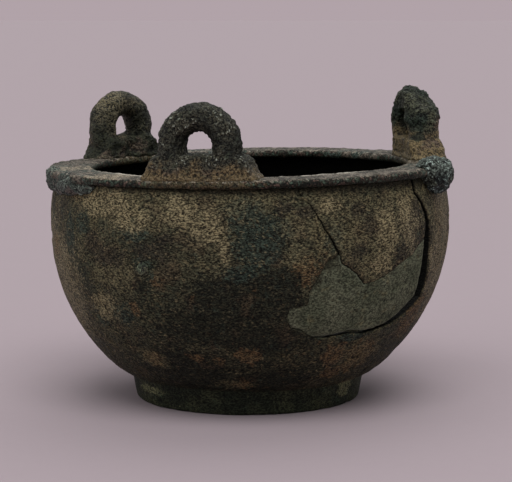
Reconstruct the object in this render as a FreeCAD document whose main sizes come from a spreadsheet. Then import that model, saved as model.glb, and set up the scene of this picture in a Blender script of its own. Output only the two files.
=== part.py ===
import FreeCAD, Part
import math
import os
import Sketcher

# A hanging censer of cast copper alloy, with a break in its wall that was mended.
# Millimetres. Origin at the centre of the foot's resting plane, +Z up, front lug at -Y.
# Azimuths are in degrees, zero at -Y and growing towards +X.

SIZES = {
    # Bowl: a raised shoulder arc, a full flank arc and a corner arc into a flat base
    "belly_radius": 50.0,
    "belly_height": 44.2,
    "shoulder_radius": 50.0,
    "flank_radius": 46.9,
    "corner_radius": 19.5,
    "base_height": 4.5,
    "wall": 2.5,
    "floor": 3.0,
    # Lip: a flat ring with rounded edges, a little tilted on the bowl
    "lip_overhang": 1.53,
    "lip_width": 10.4,
    "lip_thickness": 2.0,
    "lip_edge": 0.7,
    "lip_height": 58.85,
    "lip_tilt": 0.87,
    "lip_rise_azimuth": 104.4,
    # Foot: a plain ring under the bowl
    "foot_top_radius": 29.1,
    "foot_taper": 1.0,
    "foot_wall": 4.8,
    "foot_height": 5.8,
    "foot_edge": 0.7,
    # Lugs: a flared pad on the lip and a looped eye above it
    "pad_flare": 1.2,
    "pad_slope": 1.6,
    "pad_height": 5.3,
    "pad_waist_height": 1.7,
    "pad_edge": 1.2,
    "pad_shoulder": 2.2,
    "pad_blunting": 1.2,
    "front_azimuth": 0.0,
    "front_pad_length": 27.6,
    "front_pad_turn": 0.0,
    "front_turn": 0.0,
    "front_eye_radius": 6.75,
    "front_leg": 2.4,
    "front_bar_width": 6.1,
    "front_bar_depth": 8.0,
    "right_azimuth": 118.4,
    "right_pad_length": 22.0,
    "right_pad_turn": -3.2,
    "right_turn": 0.0,
    "right_eye_radius": 6.7,
    "right_leg": 3.1,
    "right_bar_width": 6.6,
    "right_bar_depth": 8.4,
    "back_azimuth": -115.6,
    "back_pad_length": 22.0,
    "back_pad_turn": 0.0,
    "back_turn": -4.0,
    "back_eye_radius": 6.6,
    "back_leg": 2.3,
    "back_bar_width": 6.0,
    "back_bar_depth": 7.0,
    # Break in the wall, seen square on at its own azimuth
    "break_azimuth": 51.0,
    "break_halfwidth": 20.5,
    "break_bottom": 20.4,
    "break_height": 36.6,
    "crack_width": 0.35,
    "fill_recess": 0.3,
    # Crusts of corrosion that stand on the metal
    "right_crust_azimuth": 78.4,
    "right_crust_width": 10.6,
    "right_crust_height": 8.6,
    "right_crust_depth": 9.4,
    "right_crust_inset": 0.3,
    "right_crust_drop": 1.8,
    "left_crust_azimuth": -53.1,
    "left_crust_length": 29.93,
    "left_crust_inset": 1.0,
    "left_crust_nodule": 12.0,
    "left_crust_height": 6.2,
    "left_crust_depth": 4.2,
    "left_crust_drop": 2.7,
    "wart_azimuth": -15.0,
    "wart_height": 38.0,
    "wart_size": 3.4,
    "wart_rise": 1.1,
    # Every cut runs this far past what it cuts
    "overrun": 3.0,
}

# Break outlines: (across, up) as shares of break_halfwidth and break_height,
# from the lip down the left crack to its fork
LEFT_CRACK_SHARES = (
    (-0.946, 1.10), (-0.927, 0.962), (-0.902, 0.929), (-0.834, 0.899), (-0.785, 0.847),
    (-0.707, 0.757), (-0.639, 0.689), (-0.561, 0.607), (-0.527, 0.568),
)
# From the fork round the left end of the fill to where the open gap begins
FILL_LEFT_SHARES = (
    (-0.639, 0.546), (-0.732, 0.445), (-0.805, 0.333), (-0.790, 0.254), (-0.883, 0.240),
    (-0.976, 0.235), (-0.990, 0.167), (-0.902, 0.102), (-0.776, 0.076), (-0.615, 0.022),
)
# Bowl's edge of the open gap, under and beside the fill
GAP_SHARES = (
    (-0.400, 0.011), (-0.146, 0.030), (0.059, 0.019), (0.234, 0.027), (0.473, 0.057),
    (0.737, 0.118), (1.000, 0.205), (1.002, 0.328), (0.985, 0.466), (0.966, 0.601),
)
# Right crack, bowl's side, upwards
RIGHT_CRACK_SHARES = (
    (0.946, 0.716), (0.898, 0.787), (0.800, 0.861), (0.693, 0.922), (0.688, 1.10),
)
# Fill's own lower and right edge along the open gap
FILL_EDGE_SHARES = (
    (-0.395, 0.027), (-0.146, 0.052), (0.063, 0.036), (0.234, 0.046), (0.412, 0.068),
    (0.551, 0.109), (0.854, 0.216), (0.888, 0.383), (0.890, 0.577),
)
# Joint between fill and shard, from the fork down to the shard's tip and up its foot
SHARD_FOOT_SHARES = (
    (-0.459, 0.510), (-0.368, 0.481), (-0.273, 0.448), (-0.166, 0.385), (-0.120, 0.366),
    (0.124, 0.393), (0.302, 0.447), (0.461, 0.486), (0.624, 0.525), (0.717, 0.571), (0.849, 0.608),
)
# Shard's right edge along the crack, upwards
SHARD_RIGHT_SHARES = (
    (0.878, 0.716), (0.849, 0.785), (0.766, 0.858), (0.671, 0.918), (0.665, 1.10),
)

# Radii that follow from the bowl and the lip
MOUTH_DROP = "(sizes.lip_height - sizes.lip_thickness - sizes.belly_height)"
MOUTH_RADIUS = (
    "(sizes.belly_radius - sizes.shoulder_radius"
    " + sqrt(pow(sizes.shoulder_radius; 2) - pow(%s; 2)))" % MOUTH_DROP)
LIP_OUTSIDE = "(%s + sizes.lip_overhang)" % MOUTH_RADIUS
LIP_INSIDE = "(%s - sizes.lip_width)" % LIP_OUTSIDE
LUG_RADIUS = "(%s - sizes.lip_width / 2)" % LIP_OUTSIDE
PAD_OUTSIDE = "(%s - sizes.lip_edge)" % LIP_OUTSIDE
PAD_INSIDE = "(%s + sizes.lip_edge)" % LIP_INSIDE

# Nodules of the crusts: (along, up, out, size) as shares of each crust's own sizes
RIGHT_NODULE_SHARES = (
    (0.0, 0.0, 0.0, 1.0), (0.22, 0.18, -0.10, 0.62), (-0.24, 0.20, -0.06, 0.60),
    (0.12, -0.26, 0.04, 0.58),
)
LEFT_NODULE_SHARES = (
    (-0.50, 0.06, 0.0, 0.80), (-0.28, 0.06, 0.04, 1.0), (-0.05, -0.10, -0.05, 0.86),
    (0.19, 0.03, 0.0, 0.94), (0.41, -0.02, -0.10, 0.70),
)
WART_NODULE_SHARES = ((0.0, 0.0, 0.0, 1.0),)

document = FreeCAD.newDocument("censer")
sheet = document.addObject("Spreadsheet::Sheet", "sizes")
for row, (alias, size) in enumerate(SIZES.items(), start=1):
    sheet.set("A%d" % row, alias)
    sheet.set("B%d" % row, str(size))
    sheet.setAlias("B%d" % row, alias)
document.recompute()


def number(formula):
    """The present value of a formula on the sheet."""
    return float(sheet.evalExpression(formula))


def turned(degrees):
    """A turn about the censer's own axis."""
    return FreeCAD.Placement(
        FreeCAD.Vector(0, 0, 0), FreeCAD.Rotation(FreeCAD.Vector(0, 0, 1), degrees))


def shifted(across, out, up):
    """A shift across, outwards and up, seen from outside at azimuth zero."""
    return FreeCAD.Placement(FreeCAD.Vector(across, -out, up), FreeCAD.Rotation())


def rim_frame():
    """Place of the tilted lip: its top plane at the bowl's axis."""
    rise = math.radians(sheet.lip_rise_azimuth)
    hinge = FreeCAD.Vector(-math.cos(rise), -math.sin(rise), 0)
    return FreeCAD.Placement(
        FreeCAD.Vector(0, 0, sheet.lip_height), FreeCAD.Rotation(hinge, sheet.lip_tilt))


def new_body(label):
    body = document.addObject("PartDesign::Body", label)
    body.Label = label
    return body


def new_sketch(body, name, role, offset=None):
    """A sketch on one of the body's own planes, moved along its normal by a formula."""
    plane = [item for item in body.Origin.OriginFeatures if item.Role == role][0]
    sketch = body.newObject("Sketcher::SketchObject", name)
    sketch.AttachmentSupport = [(plane, "")]
    sketch.MapMode = "FlatFace"
    if offset is not None:
        sketch.setExpression("AttachmentOffset.Base.z", offset)
    return sketch


def bind(sketch, kind, name, formula, *where):
    """A dimension of a sketch that follows a formula on the sheet."""
    index = sketch.addConstraint(Sketcher.Constraint(kind, *where, number(formula)))
    sketch.renameConstraint(index, name)
    sketch.setExpression("Constraints." + name, formula)


def fix_point(sketch, name, geometry, end, across, up):
    """Both coordinates of a point follow formulas."""
    bind(sketch, "DistanceX", name + "_across", across, geometry, end)
    bind(sketch, "DistanceY", name + "_up", up, geometry, end)


def chain(sketch, count, tangent=()):
    """Joins each curve's end to the next curve's start, smoothly where asked."""
    for index in range(count):
        following = (index + 1) % count
        kind = "Tangent" if index in tangent else "Coincident"
        sketch.addConstraint(Sketcher.Constraint(kind, index, 2, following, 1))


def arc(centre, radius, start, end):
    circle = Part.Circle(FreeCAD.Vector(centre[0], centre[1], 0), FreeCAD.Vector(0, 0, 1), radius)
    return Part.ArcOfCircle(circle, start, end)


def line(start, end):
    return Part.LineSegment(
        FreeCAD.Vector(start[0], start[1], 0), FreeCAD.Vector(end[0], end[1], 0))


def revolved(body, sketch, name):
    feature = body.newObject("PartDesign::Revolution", name)
    feature.Profile = sketch
    feature.ReferenceAxis = (sketch, ["V_Axis"])
    feature.Angle = 360
    document.recompute()
    return feature


def bowl_shape(label, inset, rise):
    """A solid of the bowl's form, set in from the outside by one formula and up by another."""
    body = new_body(label)
    sketch = new_sketch(body, label + "_profile", "XZ_Plane")
    flank = number("sizes.flank_radius - (%s)" % inset)
    shoulder = number("sizes.shoulder_radius - (%s)" % inset)
    corner = number("sizes.corner_radius - (%s)" % inset)
    bottom = number("sizes.base_height + (%s)" % rise)
    belly = number("sizes.belly_radius - (%s)" % inset)
    level = sheet.belly_height
    top = sheet.lip_height + sheet.overrun
    flank_centre = (belly - flank, level)
    shoulder_centre = (belly - shoulder, level)
    reach = math.sqrt((flank - corner) ** 2 - (level - bottom - corner) ** 2)
    corner_centre = (flank_centre[0] + reach, bottom + corner)
    meeting = math.atan2(corner_centre[1] - flank_centre[1], reach)
    crest = math.asin((top - level) / shoulder)
    mouth = shoulder_centre[0] + shoulder * math.cos(crest)
    sketch.addGeometry([
        line((0, bottom), (corner_centre[0], bottom)),
        arc(corner_centre, corner, -math.pi / 2, meeting),
        arc(flank_centre, flank, meeting, 0),
        arc(shoulder_centre, shoulder, 0, crest),
        line((mouth, top), (0, top)),
        line((0, top), (0, bottom)),
    ])
    chain(sketch, 6, tangent=(0, 1, 2))
    sketch.addConstraint(Sketcher.Constraint("Horizontal", 0))
    sketch.addConstraint(Sketcher.Constraint("Horizontal", 4))
    sketch.addConstraint(Sketcher.Constraint("PointOnObject", 5, 1, -2))
    sketch.addConstraint(Sketcher.Constraint("PointOnObject", 5, 2, -2))
    bind(sketch, "Radius", "corner", "sizes.corner_radius - (%s)" % inset, 1)
    bind(sketch, "Radius", "flank", "sizes.flank_radius - (%s)" % inset, 2)
    bind(sketch, "Radius", "shoulder", "sizes.shoulder_radius - (%s)" % inset, 3)
    fix_point(sketch, "belly", 2, 2, "sizes.belly_radius - (%s)" % inset, "sizes.belly_height")
    bind(sketch, "DistanceY", "flank_level", "sizes.belly_height", 2, 3)
    bind(sketch, "DistanceY", "bottom", "sizes.base_height + (%s)" % rise, 0, 1)
    bind(sketch, "DistanceY", "top", "sizes.lip_height + sizes.overrun", 4, 1)
    revolved(body, sketch, label + "_turned")
    return body


def closed_outline(sketch, corners):
    """A closed outline of straight lines through corners given as (across, up) formulas."""
    points = [(number(across), number(up)) for across, up in corners]
    count = len(points)
    for index in range(count):
        sketch.addGeometry(line(points[index], points[(index + 1) % count]))
    chain(sketch, count)
    for index, (across, up) in enumerate(corners):
        bind(sketch, "DistanceX", "corner%d_across" % index, across, index, 1)
        if up == "0":
            sketch.addConstraint(Sketcher.Constraint("PointOnObject", index, 1, -1))
        else:
            bind(sketch, "DistanceY", "corner%d_up" % index, up, index, 1)
    document.recompute()


def body_pad(body, sketch, name, length):
    """A sketch pushed out along its normal."""
    feature = body.newObject("PartDesign::Pad", name)
    feature.Profile = sketch
    feature.setExpression("Length", length)
    document.recompute()
    return feature


def soften(body, feature, edges, name, radius):
    """A fillet on chosen edges of a feature."""
    known = feature.Shape.Edges
    chosen = [
        "Edge%d" % (index + 1) for index, edge in enumerate(known)
        if any(edge.isSame(wanted) for wanted in edges)]
    fillet = body.newObject("PartDesign::Fillet", name)
    fillet.Base = (feature, chosen)
    fillet.setExpression("Radius", radius)
    return fillet


def outline_prism(label, outline):
    """A prism through the wall at the break, from an outline of (across, up, shift) rows."""
    body = new_body(label)
    sketch = new_sketch(body, label + "_outline", "XZ_Plane")
    corners = []
    for across, up, shift in outline:
        corners.append((
            "sizes.break_halfwidth * (%s) + sizes.crack_width * (%s)" % (across, shift),
            "sizes.break_bottom + sizes.break_height * (%s)" % up))
    closed_outline(sketch, corners)
    body_pad(body, sketch, label + "_through", "sizes.belly_radius + sizes.overrun")
    body.Placement = turned(sheet.break_azimuth)
    return body


def rows(shares, shift=0):
    return [(across, up, shift) for across, up in shares]


def boolean(kind, label, base, tool):
    feature = document.addObject("Part::" + kind, label)
    feature.Label = label
    feature.Base = base
    feature.Tool = tool
    return feature


# Bowl's wall, cut level under the tilted lip

bowl_form = bowl_shape("bowl_form", "0", "0")
bowl_hollow = bowl_shape("bowl_hollow", "sizes.wall", "sizes.floor")
fill_form = bowl_shape("fill_form", "sizes.fill_recess", "sizes.fill_recess")

above_wall = document.addObject("Part::Cylinder", "above_wall")
above_wall.setExpression("Radius", "sizes.belly_radius + sizes.overrun")
above_wall.setExpression("Height", "sizes.lip_thickness + 3 * sizes.overrun")
above_wall.Placement = rim_frame() * shifted(0, 0, -sheet.lip_thickness)

under_lip = boolean("Cut", "under_lip", bowl_form, above_wall)
wall_blank = boolean("Cut", "wall_blank", under_lip, bowl_hollow)
fill_blank = boolean("Cut", "fill_blank", fill_form, bowl_hollow)

# Break: what is missing from the bowl, and the shard and fill that stand in it

break_prism = outline_prism(
    "break_prism",
    rows(LEFT_CRACK_SHARES) + rows(FILL_LEFT_SHARES) + rows(GAP_SHARES) + rows(RIGHT_CRACK_SHARES))
shard_prism = outline_prism(
    "shard_prism",
    rows(LEFT_CRACK_SHARES, 1) + rows(SHARD_FOOT_SHARES) + rows(SHARD_RIGHT_SHARES))
fill_prism = outline_prism(
    "fill_prism",
    rows(LEFT_CRACK_SHARES[-1:]) + rows(FILL_LEFT_SHARES) + rows(FILL_EDGE_SHARES)
    + rows(SHARD_FOOT_SHARES[::-1]) + rows(LEFT_CRACK_SHARES[-1:], 1))

bowl = boolean("Cut", "bowl", wall_blank, break_prism)
wall_shard = boolean("Common", "wall_shard", wall_blank, shard_prism)
repair_fill = boolean("Common", "repair_fill", fill_blank, fill_prism)


def make_lip_ring():
    """A flat ring whose four edges are softened."""
    body = new_body("lip_ring")
    sketch = new_sketch(body, "lip_section", "XZ_Plane")
    corners = (
        (LIP_INSIDE, "-sizes.lip_thickness"),
        (LIP_OUTSIDE, "-sizes.lip_thickness"),
        (LIP_OUTSIDE, "0"),
        (LIP_INSIDE, "0"),
    )
    closed_outline(sketch, corners)
    ring = revolved(body, sketch, "lip_turned")
    soften(body, ring, ring.Shape.Edges, "lip_softened", "sizes.lip_edge")
    body.Placement = rim_frame()
    return body


def make_foot_ring():
    """A ring with a slight taper and softened lower edges, its top cut to the bowl."""
    body = new_body("foot_blank")
    sketch = new_sketch(body, "foot_section", "XZ_Plane")
    top = "sizes.foot_height + sizes.overrun"
    inner = "sizes.foot_top_radius - sizes.foot_wall"
    corners = (
        (inner, "0"),
        ("sizes.foot_top_radius - sizes.foot_taper", "0"),
        ("sizes.foot_top_radius", "sizes.foot_height"),
        ("sizes.foot_top_radius", top),
        (inner, top),
    )
    closed_outline(sketch, corners)
    ring = revolved(body, sketch, "foot_turned")
    lowest = [
        edge for edge in ring.Shape.Edges
        if edge.BoundBox.ZMax < sheet.foot_edge and edge.isClosed()]
    soften(body, ring, lowest, "foot_softened", "sizes.foot_edge")
    return boolean("Cut", "foot_ring", body, bowl_form)


def make_pad_ring():
    """The ring on the lip that every pad is cut from, with its upper edges rounded."""
    body = new_body("pad_ring")
    sketch = new_sketch(body, "pad_ring_section", "XZ_Plane")
    closed_outline(sketch, (
        (PAD_INSIDE, "0"), (PAD_OUTSIDE, "0"),
        (PAD_OUTSIDE, "sizes.pad_height"), (PAD_INSIDE, "sizes.pad_height")))
    ring = revolved(body, sketch, "pad_ring_turned")
    upper = [edge for edge in ring.Shape.Edges if edge.BoundBox.ZMin > sheet.pad_height / 2]
    soften(body, ring, upper, "pad_ring_softened", "sizes.pad_edge")
    return body


def make_pad_front(side):
    """A pad's outline seen from the front: flared feet and rounded shoulders."""
    body = new_body(side + "_pad_front")
    sketch = new_sketch(body, side + "_pad_front_outline", "XZ_Plane")
    foot = "sizes.%s_pad_length / 2" % side
    waist = foot + " - sizes.pad_flare"
    crown = waist + " - sizes.pad_slope"
    half = [(foot, "0"), (waist, "sizes.pad_waist_height"), (crown, "sizes.pad_height")]
    mirrored = [("-(%s)" % across, up) for across, up in half[::-1]]
    closed_outline(sketch, half + mirrored)
    front = body_pad(
        body, sketch, side + "_pad_front_through", "sizes.belly_radius + sizes.overrun")
    corners = [
        edge for edge in front.Shape.Edges
        if edge.BoundBox.YLength > sheet.belly_radius and edge.BoundBox.ZMin > 0]
    soften(body, front, corners, side + "_pad_front_softened", "sizes.pad_shoulder")
    return body


def make_pad_plan(side):
    """A pad's outline seen from above: a bent slot whose round ends blunt the corners."""
    body = new_body(side + "_pad_plan")
    sketch = new_sketch(body, side + "_pad_plan_outline", "XY_Plane", "-sizes.overrun")
    outside, inside = number(PAD_OUTSIDE), number(PAD_INSIDE)
    cap, middle = (outside - inside) / 2, (outside + inside) / 2
    reach = "sizes.%s_pad_length / 2 + sizes.pad_blunting - (%s - %s) / 2" % (
        side, PAD_OUTSIDE, PAD_INSIDE)
    swing = math.asin(number(reach) / middle)
    down = -math.pi / 2
    across, up = middle * math.sin(swing), -middle * math.cos(swing)
    sketch.addGeometry([
        arc((0, 0), outside, down - swing, down + swing),
        arc((across, up), cap, down + swing, down + swing + math.pi),
        arc((0, 0), inside, down - swing, down + swing),
        arc((-across, up), cap, down - swing + math.pi, down - swing + 2 * math.pi),
    ])
    for first, first_end, second, second_end in ((0, 2, 1, 1), (1, 2, 2, 2), (2, 1, 3, 1), (3, 2, 0, 1)):
        sketch.addConstraint(
            Sketcher.Constraint("Tangent", first, first_end, second, second_end))
    sketch.addConstraint(Sketcher.Constraint("Coincident", 0, 3, -1, 1))
    sketch.addConstraint(Sketcher.Constraint("Coincident", 2, 3, -1, 1))
    bind(sketch, "Radius", "outside", PAD_OUTSIDE, 0)
    bind(sketch, "Radius", "inside", PAD_INSIDE, 2)
    bind(sketch, "DistanceX", "right_reach", reach, 1, 3)
    bind(sketch, "DistanceX", "left_reach", "-(%s)" % reach, 3, 3)
    document.recompute()
    body_pad(body, sketch, side + "_pad_plan_through", "sizes.pad_height + 2 * sizes.overrun")
    return body


def make_pad(side, ring):
    """A pad of one lug, cut from the ring by its outlines from the front and from above."""
    blank = boolean("Common", side + "_pad_blank", ring, make_pad_front(side))
    pad = boolean("Common", side + "_pad", blank, make_pad_plan(side))
    pad.Placement = turned(sheet.get(side + "_pad_turn"))
    return pad


def make_eye(side):
    """The arched bar of one lug, an oval in section, whose legs stand on the lip."""
    body = new_body(side + "_eye")
    own = "sizes." + side
    radius = number(own + "_eye_radius")
    spring = number("sizes.pad_height + %s_leg" % own)
    spine = new_sketch(body, side + "_eye_line", "XZ_Plane", LUG_RADIUS)
    spine.addGeometry([
        line((-radius, 0), (-radius, spring)),
        arc((0, spring), radius, 0, math.pi),
        line((radius, spring), (radius, 0)),
    ])
    spine.addConstraint(Sketcher.Constraint("Tangent", 0, 2, 1, 2))
    spine.addConstraint(Sketcher.Constraint("Tangent", 1, 1, 2, 1))
    spine.addConstraint(Sketcher.Constraint("PointOnObject", 1, 3, -2))
    spine.addConstraint(Sketcher.Constraint("Vertical", 0))
    spine.addConstraint(Sketcher.Constraint("Vertical", 2))
    bind(spine, "Radius", "eye", own + "_eye_radius", 1)
    bind(spine, "DistanceY", "spring", "sizes.pad_height + %s_leg" % own, 1, 3)
    spine.addConstraint(Sketcher.Constraint("PointOnObject", 0, 1, -1))
    spine.addConstraint(Sketcher.Constraint("PointOnObject", 2, 2, -1))

    section = new_sketch(body, side + "_bar_section", "XY_Plane")
    centre = FreeCAD.Vector(-radius, -number(LUG_RADIUS), 0)
    depth = FreeCAD.Vector(0, number(own + "_bar_depth / 2"), 0)
    width = FreeCAD.Vector(number(own + "_bar_width / 2"), 0, 0)
    section.addGeometry(Part.Ellipse(centre + depth, centre + width, centre))
    section.exposeInternalGeometry(0)
    section.addConstraint(Sketcher.Constraint("Vertical", 1))
    bind(section, "Distance", "depth", own + "_bar_depth", 1)
    bind(section, "Distance", "width", own + "_bar_width", 2)
    fix_point(section, "leg", 0, 3, "-%s_eye_radius" % own, "-" + LUG_RADIUS)

    bar = body.newObject("PartDesign::AdditivePipe", side + "_bar")
    bar.Profile = section
    bar.Spine = (spine, ["Edge1", "Edge2", "Edge3"])
    swing = turned(sheet.get(side + "_turn")) * shifted(0, -number(LUG_RADIUS), 0)
    body.Placement = shifted(0, number(LUG_RADIUS), 0) * swing
    return body


def make_lug(side, ring):
    """One lug: an eye, square on its pad or a little askew, and the pad on the lip."""
    lug = boolean("Fuse", "lug_" + side, make_pad(side, ring), make_eye(side))
    lug.Placement = rim_frame() * turned(sheet.get(side + "_azimuth"))
    return lug


def make_crust(label, nodules, seat, sizes, frame):
    """Rounded nodules run together, with the metal's own form cut out of them."""
    width, height, depth = sizes
    lumps = []
    for index, (along, up, out, size) in enumerate(nodules):
        lump = document.addObject("Part::Ellipsoid", "%s_nodule%d" % (label, index))
        lump.setExpression("Radius1", "(%s) * %s / 2" % (height, size))
        lump.setExpression("Radius2", "(%s) * %s / 2" % (width, size))
        lump.setExpression("Radius3", "(%s) * %s / 2" % (depth, size))
        lump.Placement = frame(along, up * number(height), out * number(depth))
        lumps.append(lump)
    mass = lumps[0]
    if len(lumps) > 1:
        mass = document.addObject("Part::MultiFuse", label + "_mass")
        mass.Shapes = lumps
    return boolean("Cut", label, mass, seat)


def right_crust_frame(along, up, out):
    across = along * sheet.right_crust_width
    radius = number(LIP_OUTSIDE) - sheet.right_crust_inset + out
    place = shifted(across, radius, up - sheet.right_crust_drop)
    return rim_frame() * turned(sheet.right_crust_azimuth) * place


def left_crust_frame(along, up, out):
    radius = number(LIP_OUTSIDE) - sheet.left_crust_inset
    azimuth = sheet.left_crust_azimuth + math.degrees(along * sheet.left_crust_length / radius)
    place = shifted(0, radius + out, up - sheet.left_crust_drop)
    return rim_frame() * turned(azimuth) * place


def wart_frame(along, up, out):
    rise = sheet.wart_height - sheet.belly_height
    bend = sheet.shoulder_radius if rise > 0 else sheet.flank_radius
    wall_radius = sheet.belly_radius - bend + math.sqrt(bend ** 2 - rise ** 2)
    place = shifted(along * sheet.wart_size, wall_radius + out, sheet.wart_height + up)
    return turned(sheet.wart_azimuth) * place


lip_ring = make_lip_ring()
foot_ring = make_foot_ring()
pad_ring = make_pad_ring()
lugs = [make_lug(side, pad_ring) for side in ("front", "right", "back")]

metal_form = document.addObject("Part::MultiFuse", "metal_form")
metal_form.Shapes = [under_lip, lip_ring]
crust_right = make_crust(
    "crust_right", RIGHT_NODULE_SHARES, metal_form,
    ("sizes.right_crust_width", "sizes.right_crust_height", "sizes.right_crust_depth"),
    right_crust_frame)
crust_left = make_crust(
    "crust_left", LEFT_NODULE_SHARES, metal_form,
    ("sizes.left_crust_nodule", "sizes.left_crust_height", "sizes.left_crust_depth"),
    left_crust_frame)
crust_wart = make_crust(
    "crust_wart", WART_NODULE_SHARES, bowl_form,
    ("sizes.wart_size", "sizes.wart_size", "2 * sizes.wart_rise"), wart_frame)

document.recompute()

pieces = [
    bowl, wall_shard, repair_fill, lip_ring, foot_ring, *lugs, crust_right, crust_left, crust_wart]

for item in document.Objects:
    if "Invalid" in item.State or "Error" in item.State:
        raise RuntimeError("%s did not build: %s" % (item.Label, item.State))
for piece in pieces:
    if piece.Shape.isNull() or not piece.Shape.isValid():
        raise RuntimeError("%s has no valid shape" % piece.Label)

os.makedirs("parts", exist_ok=True)
for piece in pieces:
    piece.Shape.exportStep("parts/%s.step" % piece.Label)
    box = piece.Shape.BoundBox
    print("%-12s %d solid(s) %9.1f mm3  x %.1f..%.1f  y %.1f..%.1f  z %.1f..%.1f" % (
        piece.Label, len(piece.Shape.Solids), piece.Shape.Volume,
        box.XMin, box.XMax, box.YMin, box.YMax, box.ZMin, box.ZMax))
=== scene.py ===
"""Looks of the hanging censer: worn and patinated bronze, an old mend and crusts of corrosion."""

import math
from contextlib import contextmanager

import bmesh
import bpy
import numpy as np
from bpy.props import FloatProperty, FloatVectorProperty, IntProperty, PointerProperty
from mathutils import Matrix, Vector, geometry, kdtree, noise


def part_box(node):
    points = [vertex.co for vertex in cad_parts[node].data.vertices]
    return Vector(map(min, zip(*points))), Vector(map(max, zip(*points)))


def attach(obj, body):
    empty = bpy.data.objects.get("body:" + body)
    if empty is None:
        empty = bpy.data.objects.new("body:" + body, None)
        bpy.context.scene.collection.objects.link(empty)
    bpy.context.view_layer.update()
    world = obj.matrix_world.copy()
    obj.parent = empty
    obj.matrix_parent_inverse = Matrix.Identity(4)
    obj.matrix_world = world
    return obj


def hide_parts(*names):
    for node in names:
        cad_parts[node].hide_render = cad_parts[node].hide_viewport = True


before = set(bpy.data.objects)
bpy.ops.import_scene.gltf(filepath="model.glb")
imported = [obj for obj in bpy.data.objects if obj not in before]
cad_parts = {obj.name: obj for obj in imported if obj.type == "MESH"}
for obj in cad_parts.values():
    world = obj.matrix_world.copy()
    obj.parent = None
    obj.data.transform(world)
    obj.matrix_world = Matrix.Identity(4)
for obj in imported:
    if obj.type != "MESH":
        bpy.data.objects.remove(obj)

# Without a seed of its own the vector noise differs from one start to the next
noise.seed_set(4)
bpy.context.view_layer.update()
MM = 0.001

bl_info = {
    "name": "Hanging Censer",
    "version": (1, 0, 0),
    "blender": (4, 5, 0),
    "location": "View3D > Sidebar > Censer",
    "description": "Dresses a packed hanging censer as worn bronze with a mended break",
    "category": "Object",
}


def length(name, description, default):
    return FloatProperty(name=name, description=description, default=default, unit="LENGTH", precision=5)


def turn(name, description, degrees):
    return FloatProperty(
        name=name, description=description, default=math.radians(degrees), subtype="ANGLE")


def plain_number(name, description, default):
    return FloatProperty(name=name, description=description, default=default)


def whole_number(name, description, default):
    return IntProperty(name=name, description=description, default=default)


# Settings that a user would change


class CenserBowlSettings(bpy.types.PropertyGroup):
    belly_radius: length("Belly radius", "Widest radius of the wall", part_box("bowl")[1].x)
    belly_height: length("Belly height", "Height of the widest place", 44.2 * MM)
    shoulder_radius: length("Shoulder", "Radius of the wall's arc above the belly", 50.0 * MM)
    flank_radius: length("Flank", "Radius of the wall's arc under the belly", 46.9 * MM)
    corner_radius: length("Corner", "Radius between flank and base", 19.5 * MM)
    base_height: length("Base height", "Height of the flat base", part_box("bowl")[0].z)
    wall: length("Wall", "Thickness of the wall", 2.5 * MM)
    floor: length("Floor", "Thickness of the floor", 3.0 * MM)
    columns: whole_number("Columns", "Columns of the outer skin", 480)
    rows: whole_number("Rows", "Rows of the outer skin beside the break", 66)
    swell: length("Swell", "Depth of the wall's broad unevenness", 0.28 * MM)
    pitting: length("Pitting", "Depth of the wall's fine unevenness", 0.10 * MM)
    flaking: length("Flaking", "Step where a layer of corrosion has come away", 0.16 * MM)


class CenserBreakSettings(bpy.types.PropertyGroup):
    azimuth: turn("Azimuth", "Middle of the break round the wall", 51.0)
    halfwidth: length("Half width", "Half the break's width, seen square on", 20.5 * MM)
    bottom: length("Bottom", "Height of the break's lowest point", 20.4 * MM)
    height: length("Height", "Height from there to the lip", 36.6 * MM)
    crack: length("Crack", "Width of the open crack", 0.35 * MM)
    recess: length("Recess", "Depth of the fill under the wall's surface", 0.3 * MM)
    wear: length("Wear", "Depth to which the broken edges are worn", 0.22 * MM)


class CenserRingSettings(bpy.types.PropertyGroup):
    lip_width: length("Lip width", "Width of the flat lip", 10.4 * MM)
    lip_thickness: length("Lip thickness", "Thickness of the lip", 2.0 * MM)
    lip_edge: length("Lip edge", "Rounding of the lip's edges", 0.95 * MM)
    lip_radius: length("Lip radius", "Middle radius of the lip", 44.7 * MM)
    lip_height: length("Lip height", "Height of the lip's top at the axis", 58.85 * MM)
    lip_tilt: turn("Lip tilt", "Tilt of the lip on the bowl", 0.87)
    lip_rise: turn("Lip rise", "Azimuth at which the lip stands highest", 104.4)
    foot_top: length("Foot top", "Outer radius of the foot under the bowl", 29.1 * MM)
    foot_base: length("Foot base", "Outer radius of the foot where it stands", 28.1 * MM)
    foot_wall: length("Foot wall", "Thickness of the foot at its top", 4.8 * MM)
    foot_height: length("Foot height", "Height of the foot's outer face", 5.8 * MM)
    foot_edge: length("Foot edge", "Rounding of the foot's lower edges", 0.7 * MM)
    lip_segments: whole_number("Lip segments", "Segments round the lip", 720)
    foot_segments: whole_number("Foot segments", "Segments round the foot", 420)


class CenserLugSettings(bpy.types.PropertyGroup):
    grid: length("Grid", "Size of the cells that the lugs are rebuilt in", 0.22 * MM)
    crust_grid: length("Crust grid", "Size of the cells that the crusts are rebuilt in", 0.18 * MM)
    softening: whole_number("Softening", "Rounds of smoothing at the creases", 55)
    growth: length("Growth", "Thickness of the corrosion that narrows the eyes", 0.40 * MM)
    flare: length("Flare", "Width of the fillet at the foot of a pad", 0.8 * MM)


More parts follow.
